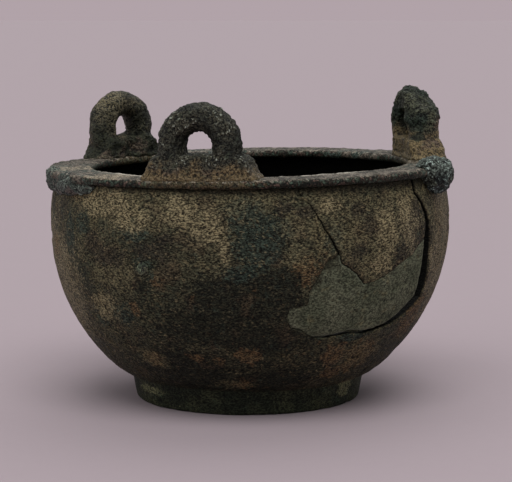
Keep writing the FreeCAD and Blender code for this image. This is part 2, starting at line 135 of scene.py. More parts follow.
class CenserStageSettings(bpy.types.PropertyGroup):
    paper: FloatVectorProperty(
        name="Paper", description="Colour of the floor", default=(0.44, 0.365, 0.395), subtype="COLOR",
        min=0.0, max=1.0)
    floor_share: plain_number("Floor share", "Share of the paper's colour that the lit floor has", 0.855)
    azimuth: turn("Camera azimuth", "Camera's place round the censer", 14.4)
    elevation: turn("Camera elevation", "Camera's height above the horizon", 7.066)
    roll: turn("Camera roll", "Camera's turn about its own line of sight", 0.135)
    distance: length("Camera distance", "Camera's distance from its target", 496.13 * MM)
    lens: plain_number("Lens", "Focal length in millimetres", 138.03)
    key: plain_number("Key light", "Strength of the soft key light", 1.7)
    back: plain_number("Back light", "Strength of the soft light from behind", 0.8)
    fill: plain_number("Fill light", "Strength of the soft fill light", 0.5)
    sky: plain_number("Surround", "Strength of the even surround", 0.38)


# Outlines of the break: (across, up) as shares of its half width and its height

LEFT_CRACK_SHARES = (
    (-0.946, 1.10), (-0.927, 0.962), (-0.902, 0.929), (-0.834, 0.899), (-0.785, 0.847),
    (-0.707, 0.757), (-0.639, 0.689), (-0.561, 0.607), (-0.527, 0.568),
)
FILL_LEFT_SHARES = (
    (-0.639, 0.546), (-0.732, 0.445), (-0.805, 0.333), (-0.790, 0.254), (-0.883, 0.240),
    (-0.976, 0.235), (-0.990, 0.167), (-0.902, 0.102), (-0.776, 0.076), (-0.615, 0.022),
)
GAP_SHARES = (
    (-0.400, 0.011), (-0.146, 0.030), (0.059, 0.019), (0.234, 0.027), (0.473, 0.057),
    (0.737, 0.118), (0.980, 0.205), (1.008, 0.328), (1.000, 0.466), (0.966, 0.601),
)
RIGHT_CRACK_SHARES = (
    (0.946, 0.716), (0.898, 0.787), (0.800, 0.861), (0.693, 0.922), (0.688, 1.10),
)
FILL_EDGE_SHARES = (
    (-0.395, 0.027), (-0.146, 0.052), (0.063, 0.036), (0.234, 0.046), (0.412, 0.068),
    (0.551, 0.109), (0.838, 0.226), (0.852, 0.383), (0.858, 0.590),
)
SHARD_FOOT_SHARES = (
    (-0.459, 0.510), (-0.368, 0.481), (-0.273, 0.448), (-0.166, 0.385), (-0.120, 0.366),
    (0.124, 0.393), (0.302, 0.447), (0.461, 0.486), (0.624, 0.525), (0.717, 0.571), (0.849, 0.608),
)
SHARD_RIGHT_SHARES = (
    (0.878, 0.716), (0.849, 0.785), (0.766, 0.858), (0.671, 0.918), (0.665, 1.10),
)

# How far the old casting leans to the camera's right, by height
LEAN = (
    (0.0, -0.50 * MM), (13.5 * MM, -0.58 * MM), (24.0 * MM, -0.27 * MM),
    (42.0 * MM, 0.18 * MM), (56.0 * MM, 0.0),
)

# Shares of red, green and blue that show on the upright front of the censer in the stage's light
FRONT_LIGHT = (0.66, 0.61, 0.64)


def settings():
    return bpy.context.scene.censer


def seen(*levels):
    """Base colour that shows as these screen levels (0 to 255) on the censer's front."""
    shares = [level / 255 for level in levels]
    linear = [share / 12.92 if share < 0.04045 else ((share + 0.055) / 1.055) ** 2.4 for share in shares]
    return tuple(part / light for part, light in zip(linear, FRONT_LIGHT))


# Node trees, for shaders and for geometry


class Value:
    """An output socket with arithmetic: each operator adds a Math node to its tree."""

    def __init__(self, tree, socket):
        self.tree = tree
        self.socket = socket

    def _math(self, operation, first, second):
        return self.tree.node("ShaderNodeMath", {"operation": operation}, {0: first, 1: second})

    def __add__(self, other):
        return self._math("ADD", self, other)

    def __radd__(self, other):
        return self._math("ADD", other, self)

    def __sub__(self, other):
        return self._math("SUBTRACT", self, other)

    def __rsub__(self, other):
        return self._math("SUBTRACT", other, self)

    def __mul__(self, other):
        return self._math("MULTIPLY", self, other)

    def __rmul__(self, other):
        return self._math("MULTIPLY", other, self)

    def __truediv__(self, other):
        return self._math("DIVIDE", self, other)

    def __rtruediv__(self, other):
        return self._math("DIVIDE", other, self)


class Tree:
    """A node tree that is built by calls."""

    def __init__(self, tree):
        self.tree = tree

    def node(self, kind, setup=None, inputs=None, output=0):
        """Adds a node: first its settings, then the values or links of its sockets."""
        made = self.tree.nodes.new(kind)
        for name, value in (setup or {}).items():
            setattr(made, name, value)
        for key, value in (inputs or {}).items():
            if isinstance(value, Value):
                self.tree.links.new(value.socket, made.inputs[key])
            else:
                made.inputs[key].default_value = value
        return Value(self, made.outputs[output])

    def vector(self, operation, first, second):
        return self.node("ShaderNodeVectorMath", {"operation": operation}, {0: first, 1: second})


class Finish(Tree):
    """A material whose pattern lies in the censer's own space, in millimetres."""

    def __init__(self, name):
        self.material = bpy.data.materials.new(name)
        self.material.use_nodes = True
        super().__init__(self.material.node_tree)
        self.tree.nodes.clear()
        place = self.node("ShaderNodeTexCoord", output=3)
        self.place = self.vector("MULTIPLY", place, (1 / MM,) * 3)
        apart = self.node("ShaderNodeSeparateXYZ", inputs={0: self.place}).socket.node
        self.x, y, self.z = (Value(self, socket) for socket in apart.outputs)
        azimuth = self.node("ShaderNodeMath", {"operation": "ARCTAN2"}, {0: self.x, 1: y * -1.0})
        arc = azimuth * (settings().bowl.belly_radius / MM)
        self.around = self.node("ShaderNodeCombineXYZ", inputs={0: arc, 2: self.z})

    def attribute(self, name):
        return self.node("ShaderNodeAttribute", {"attribute_name": name}, output=2)

    def reach(self, vector):
        return self.node("ShaderNodeVectorMath", {"operation": "LENGTH"}, {0: vector}, output=1)

    def step(self, value, low, high):
        """Smooth step from 0 to 1 between two levels, or down where low is above high."""
        falling = low > high
        ends = (high, low) if falling else (low, high)
        result = (1.0, 0.0) if falling else (0.0, 1.0)
        return self.node("ShaderNodeMapRange", {"interpolation_type": "SMOOTHSTEP"}, {
            0: value, 1: ends[0], 2: ends[1], 3: result[0], 4: result[1]})

    def speckle(self, size, seed, detail=4.0, roughness=0.55, flat=1.0):
        """Noise between 0 and 1 whose features are this many millimetres wide, and flatter by a factor."""
        place = self.place if flat == 1.0 else self.vector("MULTIPLY", self.place, (1.0, 1.0, flat))
        shifted = self.vector("ADD", place, (seed, seed * 0.7, seed * 1.3))
        return self.node("ShaderNodeTexNoise", {"noise_dimensions": "3D"}, {
            "Vector": shifted, "Scale": 1.0 / size, "Detail": detail, "Roughness": roughness})

    def spots(self, size, seed, low, high, detail=4.0, flat=1.0):
        """Speckles with soft borders, from where the noise is at one level to where it is at another."""
        return self.step(self.speckle(size, seed, detail, flat=flat), low, high)

    def grit(self, size, seed, flat=1.0):
        """Coarse and fine grain of a corroded surface."""
        self.grain = self.speckle(size, seed, 3.0, 0.6, flat)
        self.fine = self.speckle(size * 0.5, seed + 3.0, 2.0, flat=flat)
        return self.grain, self.fine

    def weathered(self, patches, size, seed, low=0.16, high=0.40, fray=1.0):
        """Field that is 1 inside patches, whose borders noise breaks up and frays into specks."""
        belly = settings().bowl.belly_radius / MM
        field = None
        for azimuth, height, wide, tall in patches:
            centre = (math.radians(azimuth) * belly, 0.0, height)
            offset = self.vector("SUBTRACT", self.around, centre)
            scaled = self.vector("MULTIPLY", offset, (1.0 / wide, 0.0, 1.0 / tall))
            inside = self.step(self.reach(scaled), 1.5, 0.35)
            field = inside if field is None else self.node(
                "ShaderNodeMath", {"operation": "MAXIMUM"}, {0: field, 1: inside})
        coarse = self.speckle(size, seed, 6.0, 0.65)
        fine = self.speckle(0.9, seed + 31.0, 3.0)
        return self.step(field * 0.5 + (coarse - 0.5) * fray + (fine - 0.5) * 0.9, low, high)

    def mix(self, share, first, second):
        """Colour between two colours."""
        sockets = {0: share}
        for key, value in ((6, first), (7, second)):
            sockets[key] = value if isinstance(value, Value) else (*value, 1.0)
        return self.node("ShaderNodeMix", {"data_type": "RGBA"}, sockets, output=2)

    def lay(self, share, *levels):
        """Lays a tone, given in screen levels, over the colour so far."""
        self.colour = self.mix(share, self.colour, seen(*levels))

    def painted_shade_and_grain(self, colour, depth=1.0, crisp=False):
        """A colour given painted shade in its hollows and painted light on its raised grains, more sharply
        where crisp.
        """
        rough = self.step(self.grain, 0.38, 0.64) * 0.45 + self.step(self.fine, 0.44, 0.58) * 1.3
        level = 0.05 + self.attribute("relief") * 0.26 + rough * 0.87
        if crisp:
            level = 0.04 + self.step(level, 0.28, 0.92) * 1.24
        level = 1.0 - depth + level * depth
        grey = self.node("ShaderNodeCombineColor", inputs={0: level, 1: level, 2: level})
        return self.node(
            "ShaderNodeMix", {"data_type": "RGBA", "blend_type": "MULTIPLY"},
            {0: 1.0, 6: colour, 7: grey}, output=2)

    def surface(self, roughness, height, depth, gloss=0.12):
        """The material in its last colour, with a surface that the height bumps by the depth."""
        bump = self.node("ShaderNodeBump", inputs={
            "Strength": 1.0, "Distance": depth, "Height": height})
        shader = self.node("ShaderNodeBsdfPrincipled", inputs={
            "Base Color": self.colour, "Roughness": roughness, "Metallic": 0.0,
            "Specular IOR Level": gloss, "Normal": bump})
        output = self.tree.nodes.new("ShaderNodeOutputMaterial")
        self.tree.links.new(shader.socket, output.inputs[0])
        return self.material


# Finishes

# Patches round the censer: azimuth in degrees, then height, half width and half height in millimetres
EARTH_PATCHES = (
    (-28, 52.5, 10, 4), (-19, 49, 6, 3.5), (-4, 51.5, 5, 4), (3, 48, 5, 4.5), (8, 43, 1.8, 3.5),
    (54.5, 46, 4, 6.5), (53, 38.5, 4, 3.5), (69, 5, 7, 3), (-33, 27, 6, 3.5), (36, 52.5, 3.5, 2),
    (62, 51, 3, 4),
)
FAINT_EARTH_PATCHES = (
    (-38, 53, 7, 3), (20, 54, 6, 3), (10, 53, 5, 3), (27, 49, 5, 4), (36, 53, 7, 4), (45, 49, 8, 7),
    (50, 38, 6, 5), (28, 41, 4, 3), (63, 53.5, 9, 3), (75, 47, 4, 7), (8, 8.5, 8, 1.5), (-54, 52, 6, 4),
    (-12, 51, 20, 5), (48, 46, 14, 9), (-20, 15, 6, 3), (55, 15, 9, 5), (-25, 36, 9, 4),
    (128, 50, 12, 6), (152, 33, 9, 9), (-170, 49, 15, 5), (-142, 42, 8, 11), (-118, 50, 9, 5),
    (-104, 24, 12, 6), (140, 14, 12, 4), (174, 22, 14, 5),
)
STAIN_PATCHES = (
    (49, 47.5, 3, 2.5), (42, 37.5, 1.8, 3), (72, 43, 6, 5), (30, 51.5, 3.5, 1.6), (45, 42, 3, 2),
    (-50, 50, 4, 3), (-34, 43, 3, 3), (60, 40.5, 2.5, 3), (24, 52.5, 3, 2), (-8, 45, 3, 1.5),
    (45, 51.5, 2.5, 2), (-13, 42, 6, 2.5), (-27, 40, 7, 3), (68, 50.5, 3, 2.5),
)
RUST_PATCHES = (
    (-20, 28, 1.8, 2.5), (-11.5, 35, 2.2, 1.4), (-20, 15, 4, 2.5), (-3, 16, 3, 1.2),
    (4, 15.5, 2.5, 1.2), (14, 17, 5, 2.5), (30, 38, 3.5, 4), (45, 16, 6, 3.5), (56, 15, 7, 5),
    (76, 23, 7, 6), (-58, 40, 4, 4), (50, 11, 7, 2), (12, 9, 4, 2),
    (-40, 54, 9, 2.2), (118, 41, 5, 7), (166, 30, 7, 4), (-156, 24, 9, 5), (-128, 33, 4, 6),
    (-96, 47, 6, 3),
)
VERDIGRIS_PATCHES = (
    (14, 50, 6, 6), (16, 43, 6, 5), (12, 37.5, 4, 2.5), (-38, 47, 3, 3), (-45, 44, 2.5, 6),
    (37.5, 45, 2.5, 3), (-27, 26, 6, 3), (-18, 46, 4, 2), (-15, 38, 3, 3), (22, 47, 4, 4),
    (-36, 25, 3, 3), (48, 20.5, 5, 1.2),
    (140, 48, 7, 6), (178, 40, 10, 7), (-133, 52, 6, 4), (-112, 38, 5, 8), (-164, 33, 5, 4),
)
SHADOW_PATCHES = (
    (14, 31, 17, 8), (6, 24, 20, 6), (-8, 12, 18, 8), (26, 21, 10, 4), (25, 36, 5, 4),
    (20, 9, 20, 4), (-17.0, 33.6, 2.2, 1.8),
    (160, 15, 22, 7), (-150, 13, 20, 6), (132, 26, 12, 7), (-120, 22, 10, 6), (-178, 46, 10, 4),
)
BARE_PATCHES = (
    (64, 46, 5, 7), (-58, 32, 14, 18), (-75, 35, 18, 20), (86, 40, 10, 18), (100, 35, 12, 18),
)
FILL_DIRT_PATCHES = ((36.5, 39.5, 3.5, 2.0), (33.0, 36.0, 1.4, 2.5))
# Where the lip's inner top edge carries its painted highlight
LIP_HIGHLIGHT_PATCHES = ((-26, 58, 18, 4), (40, 58, 16, 4))
LIP_TAN_PATCHES = ((-64, 58, 6, 3), (-30, 58, 6, 2))
LIP_CRUST_PATCHES = ((-57, 57.0, 23, 3.2), (78, 58, 9, 5), (150, 57, 12, 4), (-150, 58, 16, 3))
LIP_EARTH_PATCHES = ((0, 58, 15, 3), (104, 59, 14, 4), (-116, 58, 12, 3))
FOOT_WORN_PATCHES = ((69, 4.5, 6, 2.4), (-42, 4, 10, 1.2), (160, 4, 12, 1.5))


def make_wall_bronze(name):
    """Olive and brown patina with earth, verdigris and rust, and painted shade in its hollows, low down
    and under the lip.
    """
    finish = Finish(name)
    broad, middle = finish.speckle(16.0, 3.0, 5.0), finish.speckle(4.5, 11.0, 5.0)
    grain, fine = finish.grit(1.15, 7.0, 1.7)
    inside = finish.attribute("inside")
    shadow = finish.weathered(SHADOW_PATCHES, 9.0, 23.0)
    earth = finish.weathered(EARTH_PATCHES, 4.0, 71.0, 0.14, 0.48)
    pits = finish.spots(0.8, 97.0, 0.43, 0.36, flat=1.5)

    finish.colour = finish.mix(finish.step(broad, 0.36, 0.64), seen(42, 41, 31), seen(62, 57, 43))
    finish.lay(finish.step(middle, 0.50, 0.72) * 0.5, 80, 69, 50)
    finish.lay(finish.weathered(BARE_PATCHES, 14.0, 61.0) * 0.85, 101, 89, 71)
    finish.lay(shadow * 0.9, 23, 23, 17)
    # Painted shade: the wall darker towards the bottom
    finish.lay(finish.step(finish.z + (middle - 0.5) * 14.0, 26.0, 12.0) * 0.6, 22, 22, 16)
    finish.lay(finish.spots(7.0, 77.0, 0.52, 0.66, 5.0) * 0.45, 62, 48, 37)
    finish.lay(finish.weathered(RUST_PATCHES, 2.4, 41.0, 0.2, 0.5, 1.6) * 0.6, 88, 65, 44)
    finish.lay(finish.weathered(VERDIGRIS_PATCHES, 4.0, 53.0) * 0.8, 36, 43, 38)
    finish.lay(finish.weathered(FAINT_EARTH_PATCHES, 3.0, 67.0, 0.12, 0.52, 1.3) * 0.42, 90, 80, 60)
    finish.lay(earth * 0.75, 108, 95, 74)
    finish.lay(finish.weathered(STAIN_PATCHES, 3.0, 31.0, 0.14, 0.48) * 0.75, 40, 34, 28)
    finish.lay(finish.spots(1.0, 83.0, 0.56, 0.64, flat=1.5) * (0.4 - shadow * 0.25), 104, 88, 66)
    finish.lay(finish.spots(2.6, 89.0, 0.58, 0.72) * 0.45, 38, 46, 40)
    finish.lay(pits * 0.75, 14, 14, 10)
    finish.colour = finish.painted_shade_and_grain(finish.colour)
    # Painted shadow: a dark band on the wall under the lip's overhang
    finish.lay(finish.step(finish.z + (middle - 0.5) * 3.0, 54.6, 56.6) * 0.65, 22, 20, 16)
    # Painted shade: the broken edges along the open cracks near black
    finish.lay(finish.step(finish.attribute("edge"), 0.5, 1.0) * 0.85, 8, 8, 6)

    dust = finish.mix(finish.step(middle, 0.40, 0.62), seen(26, 25, 20), seen(52, 47, 36))
    dust = finish.mix(finish.step(broad, 0.54, 0.64) * 0.7, dust, seen(38, 46, 38))
    # Inside, darker towards the bottom down to near black: soot and painted shade
    deep = finish.step(finish.z + (middle - 0.5) * 16.0, 48.0, 30.0) * finish.step(inside, 0.9, 1.0)
    soot_and_shade = finish.mix(deep, seen(12, 11, 9), finish.painted_shade_and_grain(dust, 0.8))
    finish.colour = finish.mix(finish.step(inside, 0.0, 0.1), finish.colour, soot_and_shade)
    height = grain * 0.7 + fine * 0.5 + middle * 0.3 - pits * 0.3
    return finish.surface(0.62 + (middle - 0.5) * 0.25 + earth * 0.15, height, 1.1 * MM)


def make_fill_putty():
    """Matte grey-green fill, mottled and pocked, with a painted highlight and painted shade at its edges.
    """
    finish = Finish("fill_putty")
    broad = finish.speckle(7.0, 2.0, 5.0)
    grain, fine = finish.grit(1.1, 13.0, 1.4)
    edge = finish.attribute("edge")
    pocks = finish.spots(1.5, 37.0, 0.42, 0.30, 3.0)
    finish.colour = finish.mix(finish.step(broad, 0.35, 0.68), seen(60, 61, 49), seen(77, 76, 63))
    finish.lay(finish.spots(2.6, 29.0, 0.56, 0.70) * 0.5, 84, 76, 56)
    finish.lay(pocks * 0.8, 32, 34, 28)
    finish.lay(finish.weathered(FILL_DIRT_PATCHES, 2.0, 59.0, 0.1, 0.5) * 0.8, 38, 36, 28)
    finish.colour = finish.painted_shade_and_grain(finish.colour, 0.72)
    finish.lay(finish.spots(1.0, 39.0, 0.60, 0.68, 3.0) * 0.5, 96, 94, 76)
    # Painted highlight: a pale line along the fill's less open edges
    finish.lay(finish.step(edge, 0.15, 0.30) * finish.step(edge, 0.75, 0.55) * 0.4, 96, 96, 84)
    # Painted shade: the fill's most open edges near black
    finish.lay(finish.step(edge, 0.6, 0.95) * 0.85, 12, 12, 10)
    # Painted shade: the fill's sides in the gap and its inner face dark
    finish.lay(finish.step(finish.attribute("inside"), 0.1, 0.6), 20, 19, 16)
    return finish.surface(0.85, grain * 0.6 + broad * 0.3 - pocks * 0.4 + fine * 0.35, 0.55 * MM)


def make_lip_bronze():
    """Brown-grey lip: paler on top, rubbed and painted light; darker and greener on its edge, partly
    painted shade.
    """
    finish = Finish("lip_bronze")
    broad, middle = finish.speckle(11.0, 5.0, 5.0), finish.speckle(2.6, 19.0, 5.0)
    mottle, specks = finish.speckle(4.0, 23.0, 3.0), finish.speckle(0.9, 28.0, 3.0)
    grain, fine = finish.grit(0.8, 9.0)
    normal = finish.node("ShaderNodeNewGeometry", output=1)
    up = finish.node("ShaderNodeSeparateXYZ", inputs={0: normal}, output=2)
    # Painted shade on the side tone, painted light and rubbing on the tone that faces up
    side = finish.mix(finish.step(broad, 0.40, 0.62), seen(18, 19, 14), seen(36, 30, 24))
    side = finish.mix(finish.step(specks, 0.54, 0.60) * 0.7, side, seen(62, 74, 64))
    side = finish.mix(finish.step(specks, 0.44, 0.38) * 0.7, side, seen(84, 64, 58))
    rubbed_and_lit = finish.mix(finish.step(mottle, 0.40, 0.60), seen(46, 40, 34), seen(98, 86, 78))
    top = finish.step(up + (middle - 0.5) * 0.9 + (grain - 0.5) * 0.5, 0.55, 0.95)
    crust = finish.mix(finish.spots(2.2, 51.0, 0.46, 0.54), seen(58, 65, 60), seen(86, 75, 68))
    crusted = finish.weathered(LIP_CRUST_PATCHES, 3.0, 49.0)
    finish.colour = finish.mix(crusted * 0.95, finish.mix(top, side, rubbed_and_lit), crust)
    finish.lay(finish.step(middle, 0.56, 0.70) * 0.5, 44, 52, 43)
    finish.lay(finish.weathered(LIP_EARTH_PATCHES, 3.0, 47.0) * 0.55, 74, 61, 42)
    # Painted highlights: pale specks only where the surface faces up
    finish.lay(finish.spots(1.0, 27.0, 0.52, 0.58) * finish.step(up, 0.1, 0.7) * 0.5, 136, 124, 114)
    tan = finish.weathered(LIP_TAN_PATCHES, 2.0, 87.0) * finish.step(up, 0.4, 0.8)
    finish.lay(tan * 0.6, 140, 124, 108)
    finish.lay(finish.spots(1.0, 21.0, 0.48, 0.40) * 0.7, 20, 19, 15)
    finish.colour = finish.painted_shade_and_grain(finish.colour, 0.9, crisp=True)
    radius = finish.reach(finish.vector("MULTIPLY", finish.place, (1.0, 1.0, 0.0)))
    # Painted highlight: a pale line along the lip's inner top edge
    inner_edge_highlight = finish.step(radius + (mottle - 0.5) * 2.0 + (fine - 0.5) * 3.0, 41.9, 40.9)
    inner_edge_highlight = inner_edge_highlight * finish.step(up, 0.15, 0.55) * finish.weathered(LIP_HIGHLIGHT_PATCHES, 2.5, 55.0)
    finish.lay(inner_edge_highlight * 0.8, 176, 164, 155)
    height = grain * 0.7 + middle * 0.3 + fine * 0.5
    return finish.surface(0.5 + (middle - 0.5) * 0.3, height, 1.1 * MM, 0.16)


def make_foot_bronze():
    """Green-black foot with worn olive patches."""
    finish = Finish("foot_bronze")
    broad, middle = finish.speckle(8.0, 8.0, 5.0), finish.speckle(2.4, 15.0)
    grain, fine = finish.grit(1.0, 6.0, 1.5)
    finish.colour = finish.mix(finish.step(broad, 0.40, 0.66), seen(24, 26, 19), seen(42, 42, 30))
    finish.lay(finish.weathered(FOOT_WORN_PATCHES, 2.5, 33.0) * 0.7, 90, 86, 64)
    finish.lay(finish.step(middle, 0.58, 0.70) * 0.5, 40, 48, 38)
    finish.lay(finish.spots(1.2, 25.0, 0.44, 0.32) * 0.75, 12, 13, 10)
    finish.colour = finish.painted_shade_and_grain(finish.colour)
    return finish.surface(0.6, grain * 0.6 + middle * 0.4 + fine * 0.4, 0.6 * MM)


def make_lug_bronze(name, base, crust, glint, earth, earth_height, earth_share, blobs=()):
    """Rough lug: two patina tones, painted shade in its hollows, painted glints on grain tips, earth at
    its foot, and blobs of other tones.
    """
    finish = Finish(name)
    broad, middle = finish.speckle(5.0, 4.0, 5.0), finish.speckle(1.8, 17.0)
    grain, fine = finish.grit(0.85, 12.0)
    relief = finish.attribute("relief")
    border = finish.z + (broad - 0.5) * 9.0 + (middle - 0.5) * 4.0 + (grain - 0.5) * 3.0
    low = finish.step(border, earth_height + 1.5, earth_height - 1.5)
    earth = seen(*earth)
    dusk = tuple(0.8 * channel for channel in earth)
    soil = finish.mix(finish.step(middle, 0.44, 0.58), earth, dusk)
    soil = finish.mix(finish.step(broad, 0.52, 0.60) * 0.6, soil, seen(78, 60, 54))
    metal = finish.mix(finish.step(broad, 0.38, 0.62), seen(*base), seen(*crust))
    finish.colour = finish.mix(low * earth_share, metal, soil)
    for place, radius, levels in blobs:
        reach = finish.reach(finish.vector("SUBTRACT", finish.place, place))
        inside = finish.step(reach / radius + (middle - 0.5) * 1.6 + (grain - 0.5) * 0.8, 1.1, 0.6)
        finish.lay(inside * 0.85, *levels)
    finish.lay(finish.step(middle, 0.58, 0.70) * 0.35, 46, 55, 43)
    # Painted shade: near black in the hollows
    finish.lay(finish.step(relief, 0.48, 0.2) * 0.8, 11, 11, 9)
    finish.lay(finish.spots(0.9, 95.0, 0.46, 0.38) * (0.8 - low * 0.55), 13, 13, 10)
    finish.colour = finish.painted_shade_and_grain(finish.colour, 1.0 - low * 0.25, crisp=True)
    # Painted glints on the raised grain tips, in clusters
    glint_tips = finish.step(relief, 0.58, 0.86) * finish.step(fine, 0.52, 0.61)
    finish.lay(glint_tips * (0.07 + finish.step(broad, 0.51, 0.61) * 0.7), *glint)
    height = grain * 0.7 + middle * 0.3 + fine * 0.5
    return finish.surface(0.5 + (grain - 0.5) * 0.4, height, 1.3 * MM, 0.2)


def make_crust_stone(name, dark, light, pale, warm):
    """Mineral crust with painted glints and painted shade in its hollows; each tone is given for the
    censer's left and right side.
    """
    finish = Finish(name)
    side = finish.step(finish.x, -2.0, 2.0)
    dark, light, pale, warm = (
        finish.mix(side, seen(*left), seen(*right)) for left, right in (dark, light, pale, warm))
    broad = finish.speckle(3.2, 6.0, 5.0)
    grain, fine = finish.grit(0.9, 14.0)
    relief = finish.attribute("relief")
    stone = finish.mix(finish.step(broad, 0.44, 0.56), dark, light)
    finish.colour = finish.mix(finish.spots(3.4, 57.0, 0.53, 0.58, 3.0) * 0.6, stone, warm)
    finish.lay(finish.step(finish.x + (broad - 0.5) * 6.0, -46.5, -48.5) * 0.6, 44, 70, 72)
    upper = finish.step(finish.z + (broad - 0.5) * 5.0, 56.5, 59.5) * finish.step(finish.x, 0.0, 10.0)
    finish.lay(upper * 0.7, 74, 78, 73)
    # Painted shade: near black in the hollows
    finish.lay(finish.step(relief, 0.48, 0.25) * 0.85, 9, 10, 9)
    # Painted glints: pale points on the raised grains, in clusters
    points = finish.step(relief, 0.52, 0.80) * finish.step(fine, 0.52, 0.60)
    share = points * (0.2 + finish.step(broad, 0.48, 0.60) * 0.7)
    finish.colour = finish.mix(share, finish.painted_shade_and_grain(finish.colour, crisp=True), pale)
    return finish.surface(0.42 + grain * 0.3, grain + fine * 0.6, 1.1 * MM, 0.3)


# Shapes that several pieces share


def wavy(point, size, seed=0.0):
    """Noise between -1 and 1 at a place, with features of this many millimetres."""
    return noise.noise(point / (size * MM) + Vector((seed, seed * 1.7, seed * 0.6)))


def smooth_step(value, low, high):
    share = min(max((value - low) / (high - low), 0.0), 1.0)
    return share * share * (3.0 - 2.0 * share)


def between(value, low, high):
    """Smooth step of a length from one number of millimetres to another."""
    return smooth_step(value, low * MM, high * MM)


def camera_right():
    side = settings().stage.azimuth
    return Vector((math.cos(side), math.sin(side), 0.0))


def lean(height):
    """How far the casting leans at a height, along the camera's right."""
    levels, amounts = zip(*LEAN)
    return camera_right() * float(np.interp(height, levels, amounts))


def grains(point, size, seed=0.0):
    """Uneven grains packed side by side: about 1 on a grain's top and 0 between them."""
    place = point / (size * MM) + Vector((seed, seed, seed))
    place += noise.noise_vector(place * 0.8) * 0.45
    near = noise.voronoi(place)[0][0]
    return max(0.0, 1.0 - near * 1.15)


def crumbs(point, size, seed=0.0):
    """Coarse and fine grains together, about -0.5 to 0.5."""
    coarse = grains(point, size, seed) - 0.45
    return 0.65 * coarse + 0.35 * (grains(point, size * 0.5, seed + 9.0) - 0.45)


def rim_frame():
    """Place of the tilted lip: its top plane at the bowl's axis."""
    ring = settings().rings
    hinge = Vector((-math.cos(ring.lip_rise), -math.sin(ring.lip_rise), 0.0))
    return Matrix.Translation((0, 0, ring.lip_height)) @ Matrix.Rotation(ring.lip_tilt, 4, hinge)


def linked(name, data):
    """A new object in the scene."""
    made = bpy.data.objects.new(name, data)
    bpy.context.scene.collection.objects.link(made)
    return made


def finished(name, mesh, node, material):
    """A finished piece in place of its CAD node."""
    mesh.materials.clear()
    mesh.materials.append(material)
    mesh.shade_smooth()
    piece = linked(name, mesh)
    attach(piece, "root")
    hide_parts(node)
    return piece


def plain_mesh(name, carrier):
    """The mesh that a carrier's modifiers make; they and the carrier are then removed."""
    graph = bpy.context.evaluated_depsgraph_get()
    made = bpy.data.meshes.new_from_object(carrier.evaluated_get(graph))
    carrier.modifiers.clear()
    bpy.data.objects.remove(carrier)
    made.name = name
    return made


@contextmanager
def opened(mesh):
    """A mesh opened for editing, and written back."""
    shape = bmesh.new()
    shape.from_mesh(mesh)
    yield shape
    shape.to_mesh(mesh)
    shape.free()
    mesh.update()


def face_out(mesh):
    """Merges a closed mesh's doubles, and turns its faces outwards if they point inwards."""
    with opened(mesh) as shape:
        bmesh.ops.remove_doubles(shape, verts=shape.verts, dist=0.001 * MM)
        if shape.calc_volume(signed=True) < 0:
            bmesh.ops.reverse_faces(shape, faces=shape.faces)


def store(mesh, name, values):
    """Keeps a number for each point, under a name that the finishes read."""
    attribute = mesh.attributes.new(name, "FLOAT", "POINT")
    attribute.data.foreach_set("value", np.array(values, dtype=np.float32))


def numbers(items, name, size):
    """One property of many mesh elements as an array, in rows of this size."""
    values = np.empty(len(items) * size)
    items.foreach_get(name, values)
    return values.reshape(-1, size)


def averaged(mesh, places, rounds):
    """Places moved to the middle of their neighbours this many times."""
    count = len(mesh.vertices)
    edges = np.empty(len(mesh.edges) * 2, dtype=np.int64)
    mesh.edges.foreach_get("vertices", edges)
    first, second = edges.reshape(-1, 2).T
    neighbours = np.bincount(first, minlength=count) + np.bincount(second, minlength=count)
    smooth = places.copy()
    for _ in range(rounds):
        for axis in range(3):
            total = np.bincount(first, weights=smooth[second, axis], minlength=count)
            total += np.bincount(second, weights=smooth[first, axis], minlength=count)
            smooth[:, axis] = total / np.maximum(neighbours, 1)
    return smooth


def soften(mesh, share):
    """Moves each point this share of the way to the middle of its neighbours."""
    places = numbers(mesh.vertices, "co", 3)
    places += (averaged(mesh, places, 1) - places) * share
    mesh.vertices.foreach_set("co", places.ravel())
    mesh.update()


def mark_relief(mesh, rounds, depth):
    """Stores how far each point stands out from its smoothed surroundings, 0.5 where level."""
    places = numbers(mesh.vertices, "co", 3)
    normals = numbers(mesh.vertices, "normal", 3)
    smooth = averaged(mesh, places, rounds)
    stands = ((places - smooth) * normals).sum(axis=1) / depth
    store(mesh, "relief", np.clip(0.5 + 0.5 * stands, 0.0, 1.0))


def displaced(mesh, height):
    """Moves each point along its normal by what height(place, normal) says."""
    normals = [vertex.normal.copy() for vertex in mesh.vertices]
    for vertex, normal in zip(mesh.vertices, normals):
        vertex.co += normal * height(vertex.co, normal)
    mesh.update()


# Wall: two skins of the bowl, parted by the break


